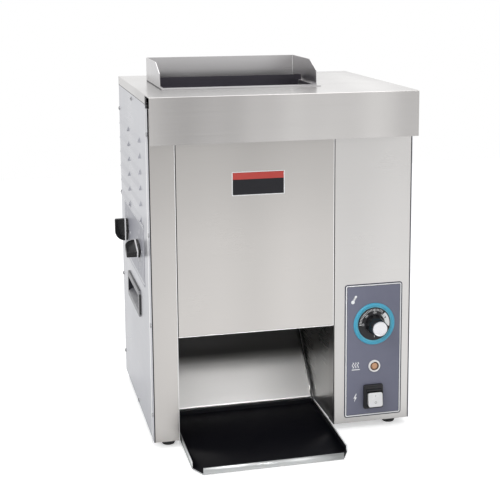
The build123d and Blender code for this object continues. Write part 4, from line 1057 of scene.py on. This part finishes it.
def step_in(shape, face, width, height, rise, lower):
    """Insets a face to a new width and height and lowers it, then raises or sinks it."""
    inset(shape, face, STEP_START)
    low = Vector(min(v.co[i] for v in face.verts) for i in (0, 1))
    high = Vector(max(v.co[i] for v in face.verts) for i in (0, 1))
    middle = (low.y + high.y) / 2
    for vert in face.verts:
        vert.co.x *= width * MM / (high.x - low.x)
        vert.co.y = middle - lower * MM + (vert.co.y - middle) * height * MM / (high.y - low.y)
    return extrude(shape, [face], (0.0, 0.0, rise), keep=False)[0]


switch_frame = bmesh.new()
face = rounded_plate(switch_frame, 32.5, 39.8, 2.5, 4.2, at=(0.0, 1.3, 0.0))
for step in FRAME_STEPS:
    face = step_in(switch_frame, face, *step)
rims = [e for e in sharp_edges(switch_frame, RIM_ANGLE) if e.verts[0].co.z > FRAME_FRONT * MM]
rims = [e for e in rims if abs(e.verts[0].co.z - e.verts[1].co.z) < 0.01 * MM]
soften(switch_frame, rims, 0.35, segments=2)
black = ["switch_black"]
finish_piece("switch_frame", switch_frame, black, "housing", placed=switch_matrix)
switch_body = bmesh.new()
rounded_plate(switch_body, 22.5, 32.5, 1.0, 24.9, at=(0.0, 0.0, -26.0))
finish_piece("switch_body", switch_body, black, "housing", "switch_housing", placed=switch_matrix)

# %% rocker and its marks
ROCKER_TILT = math.radians(-6.0)
ROCKER_PIVOT = 6.0
ROCKER_BACK, ROCKER_THICK = -1.5, 11.0
ROCKER_MIDDLE = -1.4
BACK_WIDTH, BACK_HEIGHT = 0.94, 0.76
pivot = looking(FRONTWARDS, (switch.x, panel_face - ROCKER_PIVOT, switch.z))
pivot = pivot @ Matrix.Rotation(ROCKER_TILT, 4, "X")
rocker = bmesh.new()
face = rounded_plate(rocker, 24.0, 23.5, 3.2, ROCKER_THICK, at=(0.0, ROCKER_MIDDLE, ROCKER_BACK))
for vert in rocker.verts:
    if vert not in face.verts:
        vert.co.x *= BACK_WIDTH
        vert.co.y = ROCKER_MIDDLE * MM + (vert.co.y - ROCKER_MIDDLE * MM) * BACK_HEIGHT
soften(rocker, list(face.edges), 1.5, segments=4)
white = ["rocker_white"]
finish_piece("rocker_cap", rocker, white, "rocker", "switch_rocker", placed=pivot, sharp=50.0)
signs = bmesh.new()
bar(signs, 0.7, 3.0, (0.0, 5.2))
hoop = []
for radius in (1.9, 1.25):
    hoop += bmesh.ops.create_circle(signs, segments=32, radius=radius * MM)["verts"]
bmesh.ops.bridge_loops(signs, edges=[e for e in signs.edges if not e.link_faces])
bmesh.ops.translate(signs, verts=hoop, vec=mm(0.0, -5.6, 0.0))
sign_place = pivot @ Matrix.Translation(mm(0.0, 0.0, ROCKER_BACK + ROCKER_THICK + PRINT_LIFT))
finish_print("rocker_signs", signs, ["sign_grey"], "rocker", sign_place)

# %% [markdown]
# ## Control panel print
#
# The panel is a slate film with a double border and three small signs: a thermometer for
# the dial, heat waves for the lamp and a bolt for the switch. The border is one rounded
# plate that is inset again and again, and each ring it leaves takes the next colour.

# %% panel border
BORDER_RINGS = ((1.0, 1), (0.5, 2), (1.7, 0), (0.55, 1))
BORDER_EDGE = 0.2
border_width = panel_high.x - panel_low.x - 2 * BORDER_EDGE
border_height = panel_high.z - panel_low.z - 2 * BORDER_EDGE
panel_middle = middle_of("control_overlay")
border = bmesh.new()
field = rounded_plate(border, border_width, border_height, 4.3, 0.0)
for width, colour in BORDER_RINGS:
    for face in inset(border, field, width, boundary=True):
        face.material_index = colour
bmesh.ops.delete(border, geom=[field], context="FACES_ONLY")
border_place = looking(FRONTWARDS, (panel_middle.x, panel_face - FILM_LIFT, panel_middle.z))
border_inks = ["print_white", "dark_print_and_shade", "panel_film"]
finish_print("panel_border", border, border_inks, "housing", border_place)

# %% panel signs
STEM, STEM_TURN = (15.9, 197.2), -30.0
WAVE_FOOT, WAVE_STEP, WAVE_SWAY = 82.6, 0.8, 1.15


def ribbon(shape, points, width):
    """A printed stroke of even width along points that run up the panel."""
    corners = [shape.verts.new(mm(x, y, 0.0)) for x, y in points]
    line = [shape.edges.new(pair) for pair in zip(corners, corners[1:])]
    extrude(shape, line, (width, 0.0, 0.0))


signs = bmesh.new()
bar(signs, 3.8, 9.5, STEM, STEM_TURN, material=1)
disc(signs, 1.9, (18.3, 201.3), 0.01, 20)
disc(signs, 3.0, (13.4, 192.6), 0.02, 24)
bar(signs, 0.9, 7.5, STEM, STEM_TURN, lift=0.03)
for start in (13.4, 17.6, 21.8):
    steps = range(13)
    sway = [start + WAVE_SWAY * math.sin(step / 8 * math.tau) for step in steps]
    ribbon(signs, [(x, WAVE_FOOT + step * WAVE_STEP) for x, step in zip(sway, steps)], 1.4)
bar(signs, 13.6, 1.4, (19.1, 80.0))
bolt = [
    (19.7, 39.4), (15.4, 31.6), (17.9, 31.6), (16.6, 25.3),
    (21.3, 33.5), (18.7, 33.5), (21.0, 39.4),
]
blob(signs, bolt)
panel_corner = looking(FRONTWARDS, (panel_low.x, panel_face - FILM_LIFT, panel_low.z))
finish_print("panel_signs", signs, ["print_white", "print_grey"], "housing", panel_corner)

# %% [markdown]
# ## Cover plate
#
# A small two-colour foil sits on the front cover. It is left blank: a pale edge, a red band
# and a black field, with nothing written on it.

# %% cover foil
FOIL_LOW, FOIL_HIGH = Vector((-72.35, 396.5)), Vector((10.95, 433.7))
FOIL_EDGE = 1.5
FOIL_LIFT = 0.12
RED_FROM = 6.6
cover_low, cover_high = box("front_cover")
foil = bmesh.new()
foil_size = FOIL_HIGH - FOIL_LOW
plate = rounded_plate(foil, foil_size.x, foil_size.y, 1.2, 0.0)
inset(foil, plate, FOIL_EDGE, boundary=True)
plate.material_index = 2
bmesh.ops.bisect_plane(
    foil,
    geom=foil.verts[:] + foil.edges[:] + foil.faces[:],
    plane_co=mm(0.0, RED_FROM, 0.0),
    plane_no=(0.0, 1.0, 0.0),
)
for face in foil.faces:
    if face.material_index == 2 and face.calc_center_median().y > RED_FROM * MM:
        face.material_index = 1
foil_x, foil_z = (FOIL_LOW + FOIL_HIGH) / 2
foil_place = looking(FRONTWARDS, (foil_x, cover_low.y - FOIL_LIFT, foil_z))
foil_inks = ["print_white", "sticker_red", "dark_print_and_shade"]
finish_print("cover_foil", foil, foil_inks, "housing", foil_place)

# %% [markdown]
# ## Thickness controls on the left side
#
# Two wing knobs turn the cams that set how hard a belt presses. Each is a fin on a flat
# foot with a white line round its root. The fin's outline is drawn once, its outer corners
# are rounded with a vertex bevel, and it is extruded to its thickness. The square end of the
# fin points at a printed scale.

# %% wing knobs
FIN_HALF, FIN_TALL, FIN_THICK = 19.0, 21.5, 10.0
FIN_FLANK, FIN_ANGLE = 400.0, 1.0
FOOT_THICK = 3.2
KNOB_GAP = 1.8
HUB = [(0.0, -3.3), (7.0, -3.3), (7.0, 0.2), (0.0, 0.2)]
joints = {joint["name"]: joint for joint in frame["joints"]}
front_knob = Vector(joints["front_compression_turn"]["pos_m"]) / MM
rear_knob = Vector(joints["rear_compression_turn"]["pos_m"]) / MM


def wing_knob(name, node, body, place, pointing):
    """A wing knob on the left panel; pointing is its turn from straight up, in degrees."""
    fin = bmesh.new()
    outline = [(FIN_HALF, 0.0), (FIN_HALF, FIN_TALL), (-FIN_HALF, FIN_TALL), (-FIN_HALF, 0.0)]
    corners, _ = polygon(fin, [(x, 0.0, z) for x, z in outline])
    soften(fin, [corners[2]], 16.5, 10, "VERTICES")
    soften(fin, [corners[1]], 2.2, 4, "VERTICES")
    extrude(fin, list(fin.faces), (0.0, FIN_THICK, 0.0))
    bmesh.ops.translate(fin, verts=fin.verts, vec=mm(0.0, -FIN_THICK / 2, 0.0))
    for side in [f for f in fin.faces if f.calc_area() > FIN_FLANK * MM**2]:
        inset(fin, side, 3.2, depth=-1.0)
    rims = [e for e in sharp_edges(fin, FIN_ANGLE) if max(v.co.z for v in e.verts) > 0.5 * MM]
    soften(fin, rims, 1.3)
    foot = rounded_plate(fin, 37.0, 15.0, 4.0, FOOT_THICK, segments=5)
    soften(fin, list(foot.edges), 0.8, segments=2)
    rounded_plate(fin, 38.4, 12.4, 3.0, 1.9, segments=5, at=(0.0, 0.0, FOOT_THICK), material=1)
    turned(HUB, 32, fin)
    swing = Matrix.Rotation(math.radians(90.0 - pointing), 4, "Z")
    placed = looking(LEFTWARDS, (place.x - KNOB_GAP, place.y, place.z)) @ swing
    finish_piece(name, fin, ["wing_black", "knob_line"], body, node, placed=placed, sharp=38.0)


wing_knob("front_wing", "front_compression_knob", "front_compression", front_knob, 111.0)
wing_knob("rear_wing", "rear_compression_knob", "rear_compression", rear_knob, 0.0)

# %% knob scales
LABEL_EDGE = 2.5
LABEL_RINGS = ((1.2, True), (1.6, False), (1.0, True))  # width and whether it is printed
label_low, label_high = box("compression_label")
label_size = label_high - label_low
label_middle = middle_of("compression_label")
label = bmesh.new()
field = rounded_plate(label, label_size.y - 2 * LABEL_EDGE, label_size.z - 2 * LABEL_EDGE, 2.0, 0.0)
for width, printed in LABEL_RINGS:
    ring = inset(label, field, width, boundary=True)
    if not printed:
        bmesh.ops.delete(label, geom=ring, context="FACES_ONLY")
bmesh.ops.delete(label, geom=[field], context="FACES_ONLY")
for knob in (front_knob, rear_knob):
    centre = Vector((label_middle.y - knob.y, knob.z - label_middle.z))
    for i in range(10):
        angle = 90.0 + i * 30.0
        reach, thick = (8.0, 2.6) if i % 3 == 0 else (5.0, 1.7)
        bar(label, reach, thick, centre + Vector(polar(27.0, angle)), angle)
    for i in range(4):
        number(label, str(i + 1), 7.5, centre + Vector(polar(36.0, 90.0 + i * 90.0)))
label_place = looking(LEFTWARDS, (label_low.x - FILM_LIFT, label_middle.y, label_middle.z))
finish_print("label_print", label, ["print_white"], "housing", label_place)

# %% [markdown]
# ## Hand-holds
#
# Each side has a moulded grip: a raised rim, and a pocket whose floor slopes from the lower
# lip up to a deep slot for the fingers. The plate's face is inset and pushed in, and the
# pushed face is then squeezed towards the top, which makes the slope by itself.

# %% hand-holds
HOLD_DEPTH = 28.0
HOLD_PROUD = 3.0
HOLD_RIM = 8.4
HOLD_EDGE = 0.9
HOLD_WALL = 3.0
FINGER_ROOM = 11.0


def front_of(shape):
    """The largest of the faces that lie farthest forward on a shape."""
    return max(shape.faces, key=lambda f: (round(f.calc_center_median().z, 5), f.calc_area()))


def sink(shape, face, rim, depth, room):
    """Insets a face, pushes it in and squeezes it up to a slot as high as room."""
    inset(shape, face, rim)
    floor = extrude(shape, [face], keep=False)[0]
    top = max(v.co.y for v in floor.verts)
    tall = top - min(v.co.y for v in floor.verts)
    for vert in floor.verts:
        vert.co.z -= depth * MM
        vert.co.y = top - (top - vert.co.y) * room * MM / tall
    return floor


def hand_hold(name, node, out):
    """A recessed grip that faces out, on the place of a CAD node."""
    low, high = box(node)
    wide, tall = high.y - low.y, high.z - low.z
    middle = middle_of(node)
    panel_x = low.x + HOLD_PROUD if out[0] < 0 else high.x - HOLD_PROUD
    shell = bmesh.new()
    rounded_plate(shell, wide, tall, 9.0, HOLD_PROUD, segments=8)
    soften(shell, list(front_of(shell).edges), 1.6, segments=4)
    floor = sink(shell, front_of(shell), HOLD_RIM, HOLD_DEPTH + HOLD_PROUD, FINGER_ROOM)
    top = max(v.co.y for v in floor.verts)
    shell.normal_update()
    # One black plastic painted in three tones: grey where light falls, and near black on the rim's
    # outer sides and in the deep part of the pocket, where shade falls.
    for face in shell.faces:
        x, y, z = face.calc_center_median() / MM
        outer = abs(x) > wide / 2 - HOLD_EDGE or abs(y) > tall / 2 - HOLD_EDGE
        face.material_index = 2 if outer and z > 0.0 else 0
    for face in {f for v in floor.verts for f in v.link_faces}:
        under_top = face.calc_center_median().y > top - 0.5 * MM
        shaded = face is floor or under_top or abs(face.normal.x) > 0.4
        face.material_index = 1 if shaded else 0
    flat = [f for f in shell.faces if abs(f.calc_center_median().z) < 0.01 * MM]
    back = max(flat, key=lambda f: f.calc_area())
    sink(shell, back, 2 * HOLD_WALL, HOLD_DEPTH + HOLD_WALL, FINGER_ROOM + 2 * HOLD_WALL)
    placed = looking(out, (panel_x, middle.y, middle.z))
    greys = ["handle_lit_grey", "handle_pocket_shade", "handle_rim_shade"]
    finish_piece(name, shell, greys, "housing", node, placed=placed)


hand_hold("left_grip", "left_handle", LEFTWARDS)
hand_hold("right_grip", "right_handle", RIGHTWARDS)

# %% [markdown]
# ## Screws, feet and gland
#
# Small fasteners are the last thing to model and the first thing that makes a sheet metal
# box believable. One pan head screw is drawn and stamped wherever a sheet is held.

# %% panel screws
HEAD = [(0.0, 2.1), (1.4, 2.0), (2.5, 1.6), (3.3, 0.9), (3.5, 0.2), (3.5, -0.2)]
CROSS_REACH, CROSS_HALF, CROSS_LIFT = 1.6, 0.36, 2.12
SCREW_TURN = 37.0
SCREW_SEARCH = 40.0
SIDE_SCREWS = [(351.0, 484.0), (351.0, 334.0), (351.0, 184.0), (351.0, 38.0), (7.0, 482.0),
               (7.0, 328.0), (7.0, 187.0), (7.0, 43.0), (180.0, 518.0), (176.0, 6.0)]
REAR_SCREWS = [(x, z) for x in (9.0, 410.0) for z in (38.0, 184.0, 334.0, 484.0)]
REAR_SCREWS += [(209.0, 8.0), (209.0, 518.0)]
side_low = box("left_side_panel")[0]
lid_low, lid_high = box("top_lid")
front_y, back_y, base_z = side_low.y, box("rear_panel")[1].y, side_low.z
SIDES = (("left", LEFTWARDS, lid_low.x), ("right", RIGHTWARDS, lid_high.x))


def stamp(shape, one):
    """Adds a finished bmesh to a shape."""
    mesh = bpy.data.meshes.new("stamp")
    one.to_mesh(mesh)
    one.free()
    shape.from_mesh(mesh)
    bpy.data.meshes.remove(mesh)


def seat(place, out):
    """The point of the surface under a place, seen from outside."""
    start = Vector(mm(*place)) + Vector(out) * SCREW_SEARCH * MM
    hit, point = scene.ray_cast(bpy.context.evaluated_depsgraph_get(), start, -Vector(out))[:2]
    return point / MM if hit else place


def screws(name, out, places):
    """Pan head screws at the places, all facing out, as one piece."""
    quarter = [(CROSS_HALF, CROSS_REACH), (-CROSS_HALF, CROSS_REACH), (-CROSS_HALF, CROSS_HALF)]
    cross = []
    for _ in range(4):
        cross += quarter
        quarter = [(-y, x) for x, y in quarter]
    heads = bmesh.new()
    for index, place in enumerate(places):
        one = turned(HEAD, 20)
        # The cross recess is not cut: a flat dark cross laid on the head is painted shade of the
        # recess.
        blob(one, cross, lift=CROSS_LIFT, material=1)
        spin = Matrix.Rotation(math.radians(SCREW_TURN * index), 4, "Z")
        bmesh.ops.transform(one, matrix=looking(out, seat(place, out)) @ spin, verts=one.verts)
        stamp(heads, one)
    finish_piece(name, heads, ["screw_steel", "dark_print_and_shade"], "housing", sharp=60.0)


for side, out, x in SIDES:
    screws(f"{side}_screws", out, [(x, front_y + y, base_z + z) for y, z in SIDE_SCREWS])
screws("rear_screws", BACKWARDS, [(lid_low.x + x, back_y, base_z + z) for x, z in REAR_SCREWS])

# %% feet
FOOT_RADIUS = 14.0
FOOT = [
    (0.0, 0.0), (8.2, 0.0), (9.6, 0.5), (10.3, 1.8), (11.2, 4.6),
    (12.8, 8.6), (13.8, 11.6), (FOOT_RADIUS, 13.0), (0.0, 13.0),
]
feet_low, feet_high = box("rubber_feet")
feet = bmesh.new()
for x in (feet_low.x + FOOT_RADIUS, feet_high.x - FOOT_RADIUS):
    for y in (feet_low.y + FOOT_RADIUS, feet_high.y - FOOT_RADIUS):
        one = turned(FOOT, 40)
        bmesh.ops.translate(one, verts=one.verts, vec=mm(x, y, 0.0))
        stamp(feet, one)
finish_piece("turned_feet", feet, ["foot_rubber"], "housing", "rubber_feet", sharp=40.0)

# %% cord gland
BORE = 4.5
DOME = [
    (BORE, 6.0), (9.4, 6.0), (9.6, 7.0), (9.6, 12.4), (9.0, 14.4),
    (7.4, 15.7), (5.6, 16.0), (BORE, 15.4), (BORE, 6.0),
]
TAIL = [(BORE, 0.3), (8.0, 0.3), (8.0, -16.0), (BORE, -16.0), (BORE, 0.3)]
gland_middle = middle_of("cord_gland")
gland = bmesh.new()
for segments, radius in ((6, 11.5), (24, BORE)):
    bmesh.ops.create_circle(gland, cap_ends=False, segments=segments, radius=radius * MM)
bmesh.ops.bridge_loops(gland, edges=list(gland.edges))
extrude(gland, list(gland.faces), (0.0, 0.0, 6.4))
turned(DOME, 48, gland)
turned(TAIL, 40, gland)
gland_place = looking(BACKWARDS, (gland_middle.x, back_y, gland_middle.z))
finish_piece("gland_nut", gland, ["gland_black"], "housing", "cord_gland", placed=gland_place)

# %% [markdown]
# ## Seams and folded edges
#
# Where two folded sheets meet there is a narrow groove that is never lit, and beside it the
# bend of the sheet catches the light. On a picture of a steel box those dark and bright lines
# say more than the sheets do. The shade in a groove is painted: a flat dark strip laid over
# the joint. The bends are thin round beads half sunk in the sheets, in steel far lighter than
# the sheets: the round bend is real, its brightness is a painted highlight.

# %% seams
LID_SEAM = 14.3
post_low, post_high = box("left_front_post")
fascia_low, fascia_high = box("control_fascia")
seam_z = lid_high.z - LID_SEAM
post_tall = post_high.z - post_low.z
post_middle = (post_high.z + post_low.z) / 2
cover_tall = lid_low.z - cover_low.z
lip_tall = lid_low.z - post_low.z
# Painted shade: flat dark strips over the joints, where the grooves are never lit.
seams = bmesh.new()
bar(seams, 1.5, post_tall, (post_low.x + 0.1, post_middle))
bar(seams, 0.7, post_tall, (fascia_high.x - 0.1, post_middle))
bar(seams, 1.1, cover_tall, (cover_low.x + 0.3, lid_low.z - cover_tall / 2))
bar(seams, 1.0, lip_tall, (fascia_low.x + 0.3, lid_low.z - lip_tall / 2))
front_face = looking(FRONTWARDS, (0.0, front_y - FILM_LIFT, 0.0))
finish_print("front_seam_shade", seams, ["dark_print_and_shade"], "housing", front_face)
for side, out, x in SIDES:
    seam_shade = bmesh.new()
    bar(seam_shade, back_y - front_y, 0.9, (0.0, seam_z))
    side_face = looking(out, (x + out[0] * FILM_LIFT, (back_y + front_y) / 2, 0.0))
    finish_print(f"{side}_seam", seam_shade, ["dark_print_and_shade"], "housing", side_face)

# %% folded edges, with painted highlights
BEND = 0.55
SIDE_BEND = 0.4
SLIDE_BEND = 0.8
bend_y = front_y + 0.35


def bead(shape, start, end, radius):
    """A thin round bead between two points."""
    made = bmesh.ops.create_circle(shape, cap_ends=True, segments=10, radius=radius * MM)["verts"]
    direction = Vector(end) - Vector(start)
    turn = direction.to_track_quat("Z", "Y").to_matrix().to_4x4()
    bmesh.ops.transform(shape, matrix=Matrix.Translation(mm(*start)) @ turn, verts=made)
    extrude(shape, [f for f in shape.faces if made[0] in f.verts], direction)


# Painted highlights: round beads on the bends, in steel far lighter than the sheets.
folds = bmesh.new()
cover_foot = cover_low.z + BEND
for x, foot in ((post_high.x - BEND, post_low.z + BEND), (cover_high.x - BEND, cover_foot)):
    bead(folds, (x, bend_y, foot), (x, bend_y, lid_low.z), BEND)
cover_ends = [(x, bend_y, cover_foot) for x in (cover_low.x + BEND, cover_high.x - BEND)]
bead(folds, *cover_ends, BEND)
side_ends = [(side_low.x + SIDE_BEND, bend_y, z) for z in (side_low.z + BEND, seam_z - BEND)]
bead(folds, *side_ends, SIDE_BEND)
slide_low, slide_high = box("bun_slide")
wall_x = box("right_inner_wall")[0].x
for x in (slide_low.x - 0.8, slide_high.x + 0.2, wall_x - 0.7):
    slide_foot = (x, slide_low.y + 1.5, slide_low.z + 1.5)
    bead(folds, slide_foot, (x, slide_high.y, slide_high.z), SLIDE_BEND)
finish_piece("fold_highlights", folds, ["fold_highlight_steel"], "housing")

# %% [markdown]
# ### Feeder details
#
# The corner of the feeder is a bend with a painted highlight: a bead of steel far lighter than
# the sheet. Its wing stands a hair above the lid, and the shade in that gap is painted as a dark
# strip on the wing. The plate between the two slots ends square on the right.

# %% feeder details
GAP_HEIGHT = 1.3
TAB_WIDTH, TAB_HEIGHT, TAB_THICK = 30.0, 8.9, 0.6
TAB_PAST = 4.8
feeder_low, feeder_high = box("bun_feeder")
fold_x, fold_y = feeder_high.x - 2.0, feeder_high.y - 2.0
corner_fold = bmesh.new()
bead(corner_fold, (fold_x, fold_y, lid_high.z + 1.6), (fold_x, fold_y, feeder_high.z - 0.4), 0.9)
finish_piece("feeder_fold_highlight", corner_fold, ["fold_highlight_steel"], "feeder")
wing_gap = bmesh.new()
bar(wing_gap, feeder_high.y - feeder_low.y - 4.0, GAP_HEIGHT, (0.0, lid_high.z + 0.75))
gap_place = looking(LEFTWARDS, (feeder_low.x - FILM_LIFT, middle_of("bun_feeder").y, 0.0))
finish_print("feeder_gap_shade", wing_gap, ["dark_print_and_shade"], "feeder", gap_place)
divider_high = box("feeder_divider")[1]
tab = bmesh.new()
rounded_plate(tab, TAB_WIDTH, TAB_HEIGHT, 0.6, TAB_THICK, segments=2)
tab_x = divider_high.x + TAB_PAST - TAB_WIDTH / 2
tab_y = middle_of("feeder_divider").y - 0.2
tab_place = looking(FRONTWARDS, (tab_x, tab_y, divider_high.z - TAB_HEIGHT / 2))
finish_piece("divider_tab", tab, ["divider_steel"], "housing", placed=tab_place)
